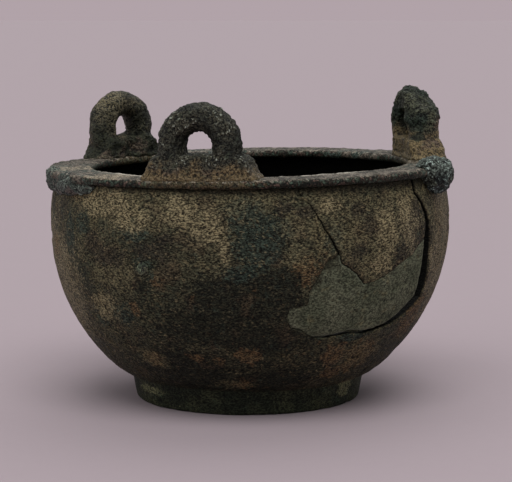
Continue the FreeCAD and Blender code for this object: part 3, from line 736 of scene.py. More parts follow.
class Section:
    """Half section of the bowl, set in from its outside by one length and up by another."""

    def __init__(self, inset=0.0, rise=0.0):
        bowl = settings().bowl
        self.level = bowl.belly_height
        self.bottom = bowl.base_height + rise
        self.flank = bowl.flank_radius - inset
        self.shoulder = bowl.shoulder_radius - inset
        self.corner = bowl.corner_radius - inset
        belly = bowl.belly_radius - inset
        drop = self.level - self.bottom - self.corner
        reach = math.sqrt((self.flank - self.corner) ** 2 - drop ** 2)
        self.flank_x = belly - self.flank
        self.shoulder_x = belly - self.shoulder
        self.corner_x = self.flank_x + reach
        self.corner_z = self.bottom + self.corner
        self.joint = math.atan2(-drop, reach)
        self.joint_z = self.corner_z + self.corner * math.sin(self.joint)

    def arc(self, z):
        """Centre and radius of the arc that makes the wall at a height."""
        if z >= self.level:
            return self.shoulder_x, self.level, self.shoulder
        if z >= self.joint_z:
            return self.flank_x, self.level, self.flank
        return self.corner_x, self.corner_z, self.corner

    def radius(self, z):
        across, up, size = self.arc(z)
        return across + math.sqrt(max(size ** 2 - (z - up) ** 2, 0.0))

    def point(self, azimuth, r, z):
        """Place on the wall and its outward direction there."""
        if r <= self.corner_x:
            out, rise = 0.0, -1.0
        else:
            across, up, size = self.arc(z)
            out, rise = (r - across) / size, (z - up) / size
        sine, cosine = math.sin(azimuth), -math.cos(azimuth)
        return Vector((r * sine, r * cosine, z)), Vector((out * sine, out * cosine, rise))

    def lower(self, step, top):
        """Places (r, z) from near the axis over the base, the corner and the flank to a height."""
        places = []
        flat = max(int(self.corner_x / (2.5 * step)), 4)
        for index in range(flat):
            places.append((self.corner_x * (index + 1) / (flat + 1), self.bottom))
        bend = self.joint + math.pi / 2
        turns = int(self.corner * bend / step)
        for index in range(turns):
            angle = -math.pi / 2 + bend * index / turns
            across = self.corner_x + self.corner * math.cos(angle)
            places.append((across, self.corner_z + self.corner * math.sin(angle)))
        last = math.asin((top - self.level) / self.flank)
        turns = int(self.flank * (last - self.joint) / step)
        for index in range(turns):
            angle = self.joint + (last - self.joint) * index / turns
            across = self.flank_x + self.flank * math.cos(angle)
            places.append((across, self.level + self.flank * math.sin(angle)))
        return places


def wall_top(section, azimuth):
    """Height at which the wall meets the tilted lip's underside."""
    ring = settings().rings
    slope = math.tan(ring.lip_tilt) * math.cos(azimuth - ring.lip_rise)
    under = ring.lip_height - ring.lip_thickness / math.cos(ring.lip_tilt)
    height = ring.lip_height
    for _ in range(2):
        height = under + section.radius(height) * slope
    return height


def rough_line(ends, seed):
    """A line through points, divided and roughened like a break, with its two ends kept."""
    step, depth, size = 0.45 * MM, 0.16 * MM, 1.1
    line = [Vector(ends[0])]
    for start, end in zip(ends, ends[1:]):
        start, end = Vector(start), Vector(end)
        pieces = max(1, round((end - start).length / step))
        line += [start.lerp(end, (index + 1) / pieces) for index in range(pieces)]
    rough = [line[0]]
    for point in line[1:-1]:
        place = Vector((point.x, point.y, seed * MM))
        shift = Vector((wavy(place, size, seed), wavy(place, size, seed + 50.0)))
        rough.append(point + shift * depth)
    return rough + [line[-1]]


def break_lines():
    """The break's outlines in (across, up), each shared by the pieces on its two sides."""
    chip = settings().chip

    def placed(shares):
        return [(across * chip.halfwidth, chip.bottom + up * chip.height) for across, up in shares]

    lines = {"left": rough_line(placed(LEFT_CRACK_SHARES), 1.0)}
    count = len(lines["left"])
    lines["left_shard"] = [
        point + Vector((chip.crack * (0.12 + 1.6 * (index / count) ** 2), 0.0))
        for index, point in enumerate(lines["left"])]
    fork = tuple(lines["left"][-1])
    shard_fork = tuple(lines["left_shard"][-1])
    fill_left, gap = placed(FILL_LEFT_SHARES), placed(GAP_SHARES)
    fill_edge, shard_foot = placed(FILL_EDGE_SHARES), placed(SHARD_FOOT_SHARES)
    lines["fill_left"] = rough_line([fork] + fill_left, 2.0)
    lines["gap"] = rough_line(fill_left[-1:] + gap, 3.0)
    lines["right"] = rough_line(gap[-1:] + placed(RIGHT_CRACK_SHARES), 4.0)
    lines["fill_edge"] = rough_line(fill_left[-1:] + fill_edge, 5.0)
    lines["shard_tip"] = rough_line([shard_fork] + shard_foot[:5], 6.0)
    lines["shard_foot"] = rough_line(shard_foot[4:], 9.0)
    lines["fill_top"] = rough_line([fill_edge[-1], shard_foot[-1]], 7.0)
    lines["shard_right"] = rough_line(shard_foot[-1:] + placed(SHARD_RIGHT_SHARES), 8.0)
    lines["fork"] = [lines["left_shard"][-1], lines["left"][-1]]
    return lines


def outlines(lines):
    """Closed outlines of the hole in the bowl, of the shard and of the fill."""
    hole = lines["left"] + lines["fill_left"][1:] + lines["gap"][1:] + lines["right"][1:]
    shard = lines["left_shard"] + lines["shard_tip"][1:] + lines["shard_foot"][1:]
    shard += lines["shard_right"][1:]
    fill = lines["fill_left"] + lines["fill_edge"][1:] + lines["fill_top"][1:]
    fill += lines["shard_foot"][::-1][1:] + lines["shard_tip"][::-1][1:]
    return {"hole": hole, "wall_shard": shard, "repair_fill": fill}


def within(points, outline):
    """Which points lie inside a closed outline."""
    ends = np.array([tuple(point) for point in outline])
    starts = np.roll(ends, 1, axis=0)
    inside = np.zeros(len(points), dtype=bool)
    x, y = points[:, 0], points[:, 1]
    for (x0, y0), (x1, y1) in zip(starts, ends):
        if y0 == y1:
            continue
        crossed = (y0 > y) != (y1 > y)
        inside ^= crossed & (x < (x1 - x0) * (y - y0) / (y1 - y0) + x0)
    return inside


# How open and dark each line of the break looks, from 0 to 1
LINE_OPENNESS = {
    "left": 1.0, "left_shard": 1.0, "right": 1.0, "shard_right": 1.0, "gap": 0.9, "shard_tip": 1.0,
    "fill_edge": 0.5, "fill_left": 0.25, "shard_foot": 0.2, "fill_top": 0.3,
}


def openness(lines, height):
    """How dark a point of the skin is; the left crack closes under the lip."""
    level = max((LINE_OPENNESS.get(name, 0.0) for name in lines), default=0.0)
    if "left" in lines or "left_shard" in lines:
        level *= 0.25 + 0.75 * between(height, 56.0, 52.0)
    return level


class Skin:
    """One face of the wall for one piece: points, their directions and places, and faces."""

    def __init__(self):
        self.points, self.normals, self.flat, self.lines, self.faces = [], [], [], [], []
        self.known = {}

    def add(self, key, point, normal, flat=None, line=()):
        if key not in self.known:
            self.known[key] = len(self.points)
            self.points.append(point)
            self.normals.append(normal)
            self.flat.append(flat)
            self.lines.append(frozenset(line))
        return self.known[key]

    def border(self):
        """The longest open edge as a loop of points, with the faces on its left."""
        following = {}
        paired = set()
        for face in self.faces:
            for start, end in zip(face, face[1:] + face[:1]):
                paired.add((start, end))
        for start, end in paired:
            if (end, start) not in paired:
                following[start] = end
        loops = []
        while following:
            start, point = following.popitem()
            loop = [start]
            while point != start and point in following:
                loop.append(point)
                point = following.pop(point)
            loops.append(loop)
        return max(loops, key=len)


# The patch of fine faces at the break: its first and last azimuth in degrees, and its lowest height
PATCH_AZIMUTHS = (18, 84)
PATCH_FLOOR = 17.0 * MM
# Rows of scattered points lie this share of their spacing apart, as in a grid of even triangles
ROW_SHARE = 0.87


def scattered(rim, taken, spacing):
    """Points strewn over the patch inside its rim, clear of those that are taken."""
    width = max(abs(point.x) for point in rim)
    top = max(point.y for point in rim)
    rise = spacing * ROW_SHARE
    found = []
    for row in range(int((top - PATCH_FLOOR) / rise) + 1):
        for column in range(int(2 * width / spacing) + 1):
            across = (column + 0.5 * (row % 2)) * spacing - width
            place = Vector((across, PATCH_FLOOR + row * spacing * ROW_SHARE, 0.0))
            place.x += wavy(place, 0.37, 5.0) * 0.2 * spacing
            place.y += wavy(place, 0.37, 9.0) * 0.2 * spacing
            if taken.find(place)[2] > 0.5 * spacing:
                found.append(Vector(place[:2]))
    inside = within(np.array([tuple(point) for point in found]), rim)
    return [point for point, kept in zip(found, inside) if kept]


def make_skins(section, columns, rows, spacing, lines):
    """The bowl's, shard's and fill's parts of one skin: a grid round the wall and a patch at the break."""
    chip = settings().chip
    first, last = (round(columns * degrees / 360) for degrees in PATCH_AZIMUTHS)
    azimuths = [2 * math.pi * column / columns for column in range(columns)]
    low = section.lower(spacing, PATCH_FLOOR)
    tops = [wall_top(section, azimuth) for azimuth in azimuths]
    bowl = Skin()

    def grid_point(column, row):
        column %= columns
        azimuth = azimuths[column]
        if row < len(low):
            r, z = low[row]
        else:
            z = PATCH_FLOOR + (tops[column] - PATCH_FLOOR) * (row - len(low)) / rows
            r = section.radius(z)
        flat = None
        if first <= column <= last and row >= len(low):
            flat = (r * math.sin(azimuth - chip.azimuth), z)
        return (column, row), *section.point(azimuth, r, z), flat

    total = len(low) + rows
    for row in range(total):
        for column in range(columns):
            if row >= len(low) and first <= column < last:
                continue
            corners = [(column, row), (column + 1, row), (column + 1, row + 1), (column, row + 1)]
            bowl.faces.append([bowl.add(*grid_point(*corner)) for corner in corners])
    middle = bowl.add("middle", Vector((0, 0, section.bottom)), Vector((0, 0, -1)))
    for column in range(columns):
        bowl.faces.append([
            middle, bowl.add(*grid_point(column + 1, 0)), bowl.add(*grid_point(column, 0))])

    edge = [(first, row) for row in range(total, len(low), -1)]
    edge += [(column, len(low)) for column in range(first, last)]
    edge += [(last, row) for row in range(len(low), total)]
    edge += [(column, total) for column in range(last, first, -1)]
    rim = [Vector(grid_point(*corner)[3]) for corner in edge]
    points, owners = list(rim), list(edge)
    links = [(index, (index + 1) % len(edge)) for index in range(len(edge))]
    for name, line in lines.items():
        start = len(points)
        points += line
        owners += [name] * len(line)
        links += [(index, index + 1) for index in range(start, start + len(line) - 1)]
    taken = kdtree.KDTree(len(points))
    for index, point in enumerate(points):
        taken.insert((point.x, point.y, 0), index)
    taken.balance()
    points += scattered(rim, taken, spacing)

    cut = geometry.delaunay_2d_cdt([point / MM for point in points], links, [], 0, 1e-4, True)
    places, triangles, origins = [Vector(place) * MM for place in cut[0]], cut[2], cut[3]
    centres = np.array([
        tuple((places[a] + places[b] + places[c]) / 3.0) for a, b, c in triangles])
    wall = within(centres, rim)
    shapes = {name: within(centres, outline) for name, outline in outlines(lines).items()}
    shapes["bowl"] = ~shapes.pop("hole")
    skins = {"bowl": bowl, "wall_shard": Skin(), "repair_fill": Skin()}
    for name, skin in skins.items():
        for index in np.nonzero(wall & shapes[name])[0]:
            a, b, c = triangles[index]
            if (places[b] - places[a]).cross(places[c] - places[a]) < 0:
                b, c = c, b
            corners = []
            for corner in (a, b, c):
                known = [owners[origin] for origin in origins[corner] if origin < len(owners)]
                grid = [owner for owner in known if not isinstance(owner, str)]
                if name == "bowl" and grid:
                    corners.append(skin.add(*grid_point(*grid[0])))
                    continue
                across, z = places[corner]
                r = section.radius(z)
                azimuth = chip.azimuth + math.asin(across / r)
                names = [owner for owner in known if isinstance(owner, str)]
                corners.append(skin.add(
                    ("patch", corner), *section.point(azimuth, r, z), (across, z), names))
            skin.faces.append(corners)
    return skins


# Small dents in the wall's outside: azimuth in degrees, then height, reach and depth in millimetres
DENTS = ((-75, 30.3, 1.4, 0.55), (-74, 13.6, 1.3, 0.7), (-76, 20.5, 2.2, 0.4), (104, 27.0, 2.0, 0.4))
# How much deeper the shard hangs than the wall round it
SHARD_DEPTH = 0.12 * MM
# Where the faces across an edge are divided, in shares of the way from the outside to the inside
EDGE_SHARES = (0.12, 0.45, 0.86)


def outer_relief(point):
    """Unevenness of the outside: broad swells, dents, flaked layers and pits."""
    bowl = settings().bowl
    swell = wavy(point, 24, 1.0) * bowl.swell + wavy(point, 8, 4.0) * bowl.swell * 0.4
    layer = wavy(point, 11, 7.0) + 0.55 * wavy(point, 3, 8.0) + 0.25 * wavy(point, 1.2, 9.0)
    flaked = -smooth_step(layer, 0.18, 0.34) * bowl.flaking
    pitted = wavy(point, 2.6, 12.0) * 0.7 + wavy(point, 1.3, 15.0) * 0.6
    height = swell + flaked + pitted * bowl.pitting
    for azimuth, level, reach, depth in DENTS:
        angle = math.radians(azimuth)
        place = Vector((math.sin(angle), -math.cos(angle), 0.0)) * bowl.belly_radius
        place.z = level * MM
        away = (Vector((point.x, point.y, 0.0)).normalized() * bowl.belly_radius
                + Vector((0.0, 0.0, point.z)) - place).length / (reach * MM)
        height -= depth * MM * math.exp(-away * away)
    return height


def inner_relief(point):
    """Unevenness of the inside, as hammered and scaled."""
    bowl = settings().bowl
    return wavy(point, 14, 21.0) * bowl.swell * 0.6 + wavy(point, 3.5, 24.0) * bowl.pitting


def fill_relief(point):
    """Unevenness of the fill: strokes of the knife and small pores."""
    bowl, chip = settings().bowl, settings().chip
    stroke = wavy(Vector((point.x, point.y, point.z * 2.2)), 5, 31.0) * bowl.pitting
    pores = wavy(point, 1.4, 34.0) * bowl.pitting * 0.6
    return stroke + pores - chip.recess


def worn_outside(name, skin):
    """Final places of an outer skin's points."""
    chip = settings().chip
    places = []
    for point, normal, lines in zip(skin.points, skin.normals, skin.lines):
        height = outer_relief(point)
        if name == "repair_fill":
            height = fill_relief(point) + height * 0.5
        height -= chip.wear * openness(lines, point.z)
        if name == "wall_shard":
            height -= SHARD_DEPTH
        places.append(point + normal * height + lean(point.z))
    return places


def worn_inside(skin):
    """Final places of an inner skin's points."""
    return [
        point + normal * inner_relief(point) + lean(point.z)
        for point, normal in zip(skin.points, skin.normals)]


def stitched(places, ring, hollow):
    """Triangles between two loops of points that start side by side and run the same way."""
    ring, hollow = ring + ring[:1], hollow + hollow[:1]
    faces = []
    a = c = 0
    while a < len(ring) - 1 or c < len(hollow) - 1:
        ahead = c == len(hollow) - 1
        if not ahead and a < len(ring) - 1:
            over = (places[ring[a + 1]] - places[hollow[c]]).length
            under = (places[ring[a]] - places[hollow[c + 1]]).length
            ahead = over < under
        if ahead:
            faces.append([ring[a + 1], ring[a], hollow[c]])
            a += 1
        else:
            faces.append([ring[a], hollow[c], hollow[c + 1]])
            c += 1
    return faces


def wall_piece(name, outer, inner, inner_section):
    """Closes an outer and an inner skin round their edges into one mesh."""
    chip = settings().chip
    outside, inside = worn_outside(name, outer), worn_inside(inner)
    offset = len(outside)
    places = outside + inside
    depth = [0.0] * offset + [1.0] * len(inside)
    faces = [list(face) for face in outer.faces]
    faces += [[offset + index for index in face[::-1]] for face in inner.faces]

    loop = outer.border()
    partners = []
    for index in loop:
        point, flat = outer.points[index], outer.flat[index]
        z = point.z
        r = inner_section.radius(z)
        if flat is None:
            azimuth = math.atan2(point.x, -point.y)
        else:
            azimuth = chip.azimuth + math.asin(max(-1.0, min(1.0, flat[0] / r)))
        base, normal = inner_section.point(azimuth, r, z)
        partners.append(base + normal * inner_relief(base) + lean(z))
    ring = list(loop)
    for share in EDGE_SHARES:
        made = []
        for index, partner in zip(loop, partners):
            place = outside[index].lerp(partner, share)
            if outer.lines[index]:
                place = place + Vector([wavy(place, 0.9, seed) * 0.10 * MM for seed in (3.0, 6.0, 9.0)])
            made.append(len(places))
            places.append(place)
            depth.append(share)
        for index in range(len(ring)):
            after = (index + 1) % len(ring)
            faces.append([ring[after], ring[index], made[index], made[after]])
        ring = made
    hollow = [offset + index for index in inner.border()]
    near = min(range(len(hollow)), key=lambda item: (places[hollow[item]] - partners[0]).length)
    faces += stitched(places, ring, hollow[near:] + hollow[:near])

    mesh = bpy.data.meshes.new(name)
    mesh.from_pydata([tuple(place) for place in places], [], faces)
    mesh.update()
    mark_relief(mesh, 5, 0.10 * MM)
    open_edge = [openness(lines, point.z) for lines, point in zip(outer.lines, outer.points)]
    store(mesh, "inside", depth)
    store(mesh, "edge", open_edge + [0.0] * (len(places) - len(open_edge)))
    return mesh


class CENSER_OT_wall(bpy.types.Operator):
    """Makes the bowl, the shard that hangs in its break, and the fill under the shard"""

    bl_idname = "censer.wall"
    bl_label = "Bowl, Shard and Fill"

    def execute(self, context):
        bowl = settings().bowl
        lines = break_lines()
        outer_section = Section()
        inner_section = Section(bowl.wall, bowl.floor)
        outer = make_skins(outer_section, bowl.columns, bowl.rows, 0.62 * MM, lines)
        inner = make_skins(inner_section, bowl.columns // 2, bowl.rows // 2, 1.2 * MM, lines)
        parts = (
            ("bowl", "wall_bronze", make_wall_bronze("wall_bronze")),
            ("wall_shard", "shard_bronze", make_wall_bronze("shard_bronze")),
            ("repair_fill", "fill", make_fill_putty()),
        )
        for name, slot, material in parts:
            mesh = wall_piece(name, outer[name], inner[name], inner_section)
            finished("worn_" + name, mesh, name, material)
        return {"FINISHED"}


# Lip and foot: sections swept round a circle


def rounded_outline(corners, radii, step):
    """A closed outline through corners, each rounded by its radius, divided at about a step."""
    points = []
    count = len(corners)
    for index, (corner, radius) in enumerate(zip(corners, radii)):
        corner = Vector(corner)
        before = (Vector(corners[index - 1]) - corner).normalized()
        after = (Vector(corners[(index + 1) % count]) - corner).normalized()
        if radius == 0.0:
            points.append(corner)
            continue
        half = before.angle(after) / 2
        centre = corner + (before + after).normalized() * (radius / math.sin(half))
        start = corner + before * (radius / math.tan(half)) - centre
        end = corner + after * (radius / math.tan(half)) - centre
        bend = start.angle_signed(end)
        turns = max(3, round(abs(bend) * radius / step))
        for turn_index in range(turns + 1):
            share = turn_index / turns
            swung = Matrix.Rotation(-bend * share, 2) @ start
            points.append(centre + swung)
    outline = []
    for index, point in enumerate(points):
        following = points[(index + 1) % len(points)]
        pieces = max(1, round((following - point).length / step))
        outline += [point.lerp(following, part / pieces) for part in range(pieces)]
    return outline


def ring_tree():
    """Geometry nodes that sweep a section round a circle and make it uneven."""
    group = bpy.data.node_groups.new("uneven_ring", "GeometryNodeTree")
    sockets = (
        ("Section", "NodeSocketGeometry", None), ("Radius", "NodeSocketFloat", 0.0447),
        ("Segments", "NodeSocketInt", 720), ("Wave", "NodeSocketFloat", 0.0003),
        ("Wave Size", "NodeSocketFloat", 0.02), ("Grain", "NodeSocketFloat", 0.0001),
        ("Grain Size", "NodeSocketFloat", 0.0015), ("Finish", "NodeSocketMaterial", None),
    )
    for name, kind, default in sockets:
        socket = group.interface.new_socket(name=name, in_out="INPUT", socket_type=kind)
        if default is not None:
            socket.default_value = default
    group.interface.new_socket(name="Ring", in_out="OUTPUT", socket_type="NodeSocketGeometry")
    tree = Tree(group)
    given = group.nodes.new("NodeGroupInput")
    given = {socket.name: Value(tree, socket) for socket in given.outputs if socket.name}
    section = tree.node("GeometryNodeMeshToCurve", inputs={0: given["Section"]})
    circle = tree.node(
        "GeometryNodeCurvePrimitiveCircle", {"mode": "RADIUS"},
        {"Resolution": given["Segments"], "Radius": given["Radius"]})
    upright = tree.node("GeometryNodeSetCurveNormal", {"mode": "Z_UP"}, {0: circle})
    swept = tree.node("GeometryNodeCurveToMesh", inputs={0: upright, "Profile Curve": section})
    place = tree.node("GeometryNodeInputPosition")
    normal = tree.node("GeometryNodeInputNormal")
    offset = None
    layers = (
        (given["Wave"], given["Wave Size"], 3.0, (0.0, 0.0, 0.0)),
        (given["Grain"], given["Grain Size"], 2.0, (0.3, 0.1, 0.2)),
    )
    for depth, size, detail, shift in layers:
        moved = tree.vector("ADD", place, shift)
        rough = tree.node("ShaderNodeTexNoise", {"noise_dimensions": "3D"}, {
            "Vector": moved, "Scale": 1.0 / size, "Detail": detail})
        height = (rough - 0.5) * 2.0 * depth
        offset = height if offset is None else offset + height
    push = tree.node(
        "ShaderNodeVectorMath", {"operation": "SCALE"}, {0: normal, "Scale": offset})
    uneven = tree.node("GeometryNodeSetPosition", inputs={0: swept, "Offset": push})
    real = tree.node("GeometryNodeRealizeInstances", inputs={0: uneven})
    dressed = tree.node("GeometryNodeSetMaterial", inputs={0: real, "Material": given["Finish"]})
    output = group.nodes.new("NodeGroupOutput")
    group.links.new(dressed.socket, output.inputs[0])
    return group


def run_nodes(name, mesh, group, values):
    """The plain mesh that a geometry tree makes of a mesh, with the named inputs set."""
    carrier = linked(name + "_carrier", mesh)
    modifier = carrier.modifiers.new(name, "NODES")
    modifier.node_group = group
    for item in group.interface.items_tree:
        if item.item_type == "SOCKET" and item.in_out == "INPUT" and item.name in values:
            modifier[item.identifier] = values[item.name]
    return plain_mesh(name, carrier)


def swept_ring(name, corners, radii, radius, segments, wave, grain, material):
    """A ring of a rounded section, uneven as an old casting."""
    step = 0.42 * MM
    outline = rounded_outline(corners, radii, step)
    section = bpy.data.meshes.new(name + "_section")
    count = len(outline)
    section.from_pydata(
        [(point.x, -point.y, 0.0) for point in outline],
        [(index, (index + 1) % count) for index in range(count)], [])
    mesh = run_nodes(name, section, ring_tree(), {
        "Radius": radius, "Segments": segments, "Wave": wave, "Wave Size": 14.0 * MM,
        "Grain": grain, "Grain Size": 2.0 * MM, "Finish": material})
    face_out(mesh)
    return mesh


class CENSER_OT_rings(bpy.types.Operator):
    """Makes the lip and the foot by sweeping their sections round"""

    bl_idname = "censer.rings"
    bl_label = "Lip and Foot"

    @staticmethod
    def crusted(place, normal):
        """Corrosion on the lip's outer side, between the left crust and the front."""
        outward = Vector((place.x, place.y, 0.0)).normalized()
        azimuth = math.degrees(math.atan2(place.x, -place.y))
        reach = smooth_step(azimuth, -32.0, -40.0) * smooth_step(azimuth, -100.0, -85.0)
        lumps = 0.75 + wavy(place, 3.5, 61.0) * 0.6 + crumbs(place, 2.4, 63.0) * 0.5
        return max(0.0, normal.dot(outward)) * reach * lumps * MM

    def execute(self, context):
        ring = settings().rings
        half, thick = ring.lip_width / 2, ring.lip_thickness
        material = make_lip_bronze()
        corners = ((half, 0.0), (-half, 0.0), (-half, -thick), (half, -thick))
        mesh = swept_ring(
            "lip", corners, (ring.lip_edge,) * 4, ring.lip_radius, ring.lip_segments,
            0.36 * MM, 0.28 * MM, material)
        displaced(mesh, self.crusted)
        mesh.transform(rim_frame())
        mark_relief(mesh, 5, 0.08 * MM)
        finished("worn_lip_ring", mesh, "lip_ring", material)

        material = make_foot_bronze()
        inner = ring.foot_top - ring.foot_wall
        # The foot's upper end is hidden in the bowl
        bury = 0.8 * MM
        section = Section()
        under = section.bottom
        rise = section.corner_z - math.sqrt(section.corner ** 2 - (ring.foot_top - section.corner_x) ** 2)
        corners = (
            (inner, 0.0), (inner, under + bury), (ring.foot_top, rise + bury),
            (ring.foot_top, ring.foot_height), (ring.foot_base, 0.0))
        middle = (inner + ring.foot_base) / 2
        corners = tuple((across - middle, up) for across, up in corners)
        radii = (ring.foot_edge, 0.0, 0.0, 0.0, ring.foot_edge)
        mesh = swept_ring(
            "foot", corners, radii, middle, ring.foot_segments, 0.26 * MM, 0.15 * MM, material)
        for vertex in mesh.vertices:
            vertex.co += lean(vertex.co.z)
            vertex.co.z = max(vertex.co.z, 0.0)
        mesh.update()
        mark_relief(mesh, 5, 0.08 * MM)
        finished("worn_foot_ring", mesh, "foot_ring", material)
        return {"FINISHED"}


# Lugs and crusts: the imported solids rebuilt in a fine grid, softened and roughened


def keep_largest(mesh):
    """Removes the specks that rebuilding leaves apart from the main body."""
    with opened(mesh) as shape:
        met, largest = set(), set()
        for start in shape.verts:
            if start in met:
                continue
            body, queue = {start}, [start]
            while queue:
                near = {point for edge in queue.pop().link_edges for point in edge.verts} - body
                body |= near
                queue += near
            met |= body
            largest = max(largest, body, key=len)
        stray = [point for point in shape.verts if point not in largest]
        bmesh.ops.delete(shape, geom=stray, context="VERTS")


def rebuilt(node, grid, softening):
    """A node's solid as one fine, even mesh with softened creases."""
    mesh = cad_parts[node].data.copy()
    face_out(mesh)
    carrier = linked(node + "_carrier", mesh)
    remesh = carrier.modifiers.new("rebuild", "REMESH")
    remesh.mode = "VOXEL"
    remesh.voxel_size = grid
    remesh.adaptivity = 0.0
    smooth = carrier.modifiers.new("soften", "SMOOTH")
    smooth.factor = 0.5
    smooth.iterations = softening
    made = plain_mesh(node, carrier)
    keep_largest(made)
    return made


# Height of a lug's eye above the lip where its legs have no height, the thickness that smoothing
# takes off a lug, and the depth to which a pad is sunk, the last in millimetres
EYE_HEIGHT = 5.3 * MM
SMOOTHED_OFF = 0.10 * MM
PAD_SINK = 0.5


def narrow_eye(mesh, azimuth, leg):
    """Lays corrosion inside a lug's eye and makes good what smoothing took off outside."""
    lug = settings().lugs
    ring = settings().rings
    turned = rim_frame() @ Matrix.Rotation(math.radians(azimuth), 4, "Z")
    centre = turned @ Vector((0.0, -ring.lip_radius, EYE_HEIGHT + leg))
    along = turned.to_3x3() @ Vector((0.0, -1.0, 0.0))

    def height(place, normal):
        aside = place - centre
        aside -= along * aside.dot(along)
        inward = max(0.0, -normal.dot(aside.normalized()))
        return SMOOTHED_OFF + lug.growth * inward * between(aside.length, 9.0, 5.0)

    displaced(mesh, height)


def seat_pad(mesh):
    """Spreads a lug's foot on the tilted lip as a fillet, and sinks its underside a little."""
    lug = settings().lugs
    level = rim_frame().inverted()
    up = rim_frame().to_3x3() @ Vector((0.0, 0.0, 1.0))
    reach = 2.0 * lug.flare
    normals = [vertex.normal.copy() for vertex in mesh.vertices]
    for vertex, normal in zip(mesh.vertices, normals):
        height = (level @ vertex.co).z
        aside = normal - up * normal.dot(up)
        if height < reach:
            share = 1.0 - max(height, 0.0) / reach
            vertex.co += aside * lug.flare * share * share
        if height < PAD_SINK * MM:
            vertex.co -= up * PAD_SINK * MM * between(height, PAD_SINK, 0.0)
    mesh.update()


def front_relief(place, normal):
    """Corrosion of the front lug, coarser above its pad."""
    up = between(place.z, 60.5, 64.5)
    return (
        wavy(place, 5.0, 2.0) * 0.25 * MM + wavy(place, 1.9, 5.0) * 0.14 * MM
        + crumbs(place, 1.3, 3.0) * (0.35 + 0.35 * up) * MM)


def back_relief(place, normal):
    """Corrosion of the back lug, with lumps round its pad."""
    low = between(place.z, 68.0, 64.0)
    return (
        wavy(place, 5.0, 12.0) * 0.45 * MM + wavy(place, 2.0, 15.0) * 0.2 * MM
        + crumbs(place, 3.2, 17.0) * low * 1.1 * MM + crumbs(place, 1.3, 13.0) * 0.3 * MM)


def right_relief(place, normal):
    """Corrosion of the right lug: a thick head on thinner legs, cut back at its two shoulders."""
    side = camera_right()
    head = between(place.z + wavy(place, 3.0, 28.0) * MM, 67.6, 69.0)
    across = (place.x * side.x + place.y * side.y) / MM
    shoulder = smooth_step(across, 41.0, 45.5) * between(place.z, 71.5, 75.5)
    nape = smooth_step(across, 40.5, 37.5) * between(place.z, 70.0, 74.0)
    return (
        wavy(place, 4.0, 22.0) * (0.35 + 0.25 * head) * MM
        + wavy(place, 1.7, 25.0) * (0.14 + 0.16 * head) * MM
        + crumbs(place, 1.4, 23.0) * (0.25 + 0.50 * head) * MM
        - (1.0 - head) * between(place.z, 62.0, 65.0) * 0.35 * MM
        - (1.4 * shoulder + 0.8 * nape) * MM)


# Each lug's azimuth in degrees, its legs' height, its relief, and its finish: tones of metal, crust,
# painted glints on grain tips and earth, the earth's height and share, and blobs with their place, radius
# and tone, among them a painted shadow and a painted highlight. Lengths are in millimetres and tones in
# screen levels.
LUGS = {
    "lug_front": (0.0, 2.4, front_relief, (
        (33, 32, 26), (54, 50, 41), (150, 150, 142), (98, 80, 57), 61.8, 0.8)),
    "lug_right": (118.4, 3.1, right_relief, (
        (30, 37, 30), (60, 58, 46), (104, 106, 92), (112, 93, 68), 67.0, 0.8, (
            ((40.2, 12.5, 68.5), 3.0, (34, 41, 35)),
            ((40.5, 12.5, 64.6), 2.3, (34, 40, 34)),
            ((44.3, 15.4, 68.2), 2.0, (88, 70, 58)),
            ((44.5, 13.0, 62.3), 2.4, (70, 56, 52)),
            # Painted shadow on the far leg, under the head
            ((34.5, 25.5, 67.2), 2.7, (9, 10, 7))))),
    "lug_back": (-115.6, 2.3, back_relief, (
        (47, 44, 35), (82, 73, 58), (96, 90, 72), (34, 35, 25), 64.5, 0.85, (
            # Painted highlight on the lug's upper left
            ((-42.5, 15.0, 72.0), 3.5, (84, 74, 56)),
            ((-35.0, 22.0, 68.5), 4.0, (26, 28, 21))))),
}
# How far the right lug's top leans inwards, in millimetres
RIGHT_LEAN = 0.8


class CENSER_OT_lugs(bpy.types.Operator):
    """Makes the three lugs, each with its own corrosion"""

    bl_idname = "censer.lugs"
    bl_label = "Lugs"

    def execute(self, context):
        lug = settings().lugs
        side = camera_right()
        for node, (azimuth, leg, relief, tones) in LUGS.items():
            mesh = rebuilt(node, lug.grid, lug.softening)
            narrow_eye(mesh, azimuth, leg * MM)
            seat_pad(mesh)
            displaced(mesh, relief)
            soften(mesh, 0.35)
            if node == "lug_right":
                for vertex in mesh.vertices:
                    vertex.co -= side * RIGHT_LEAN * MM * between(vertex.co.z, 61.5, 66.0)
                mesh.update()
            mark_relief(mesh, 6, 0.12 * MM)
            material = make_lug_bronze(node + "_bronze", *tones)
            finished("worn_" + node, mesh, node, material)
        return {"FINISHED"}


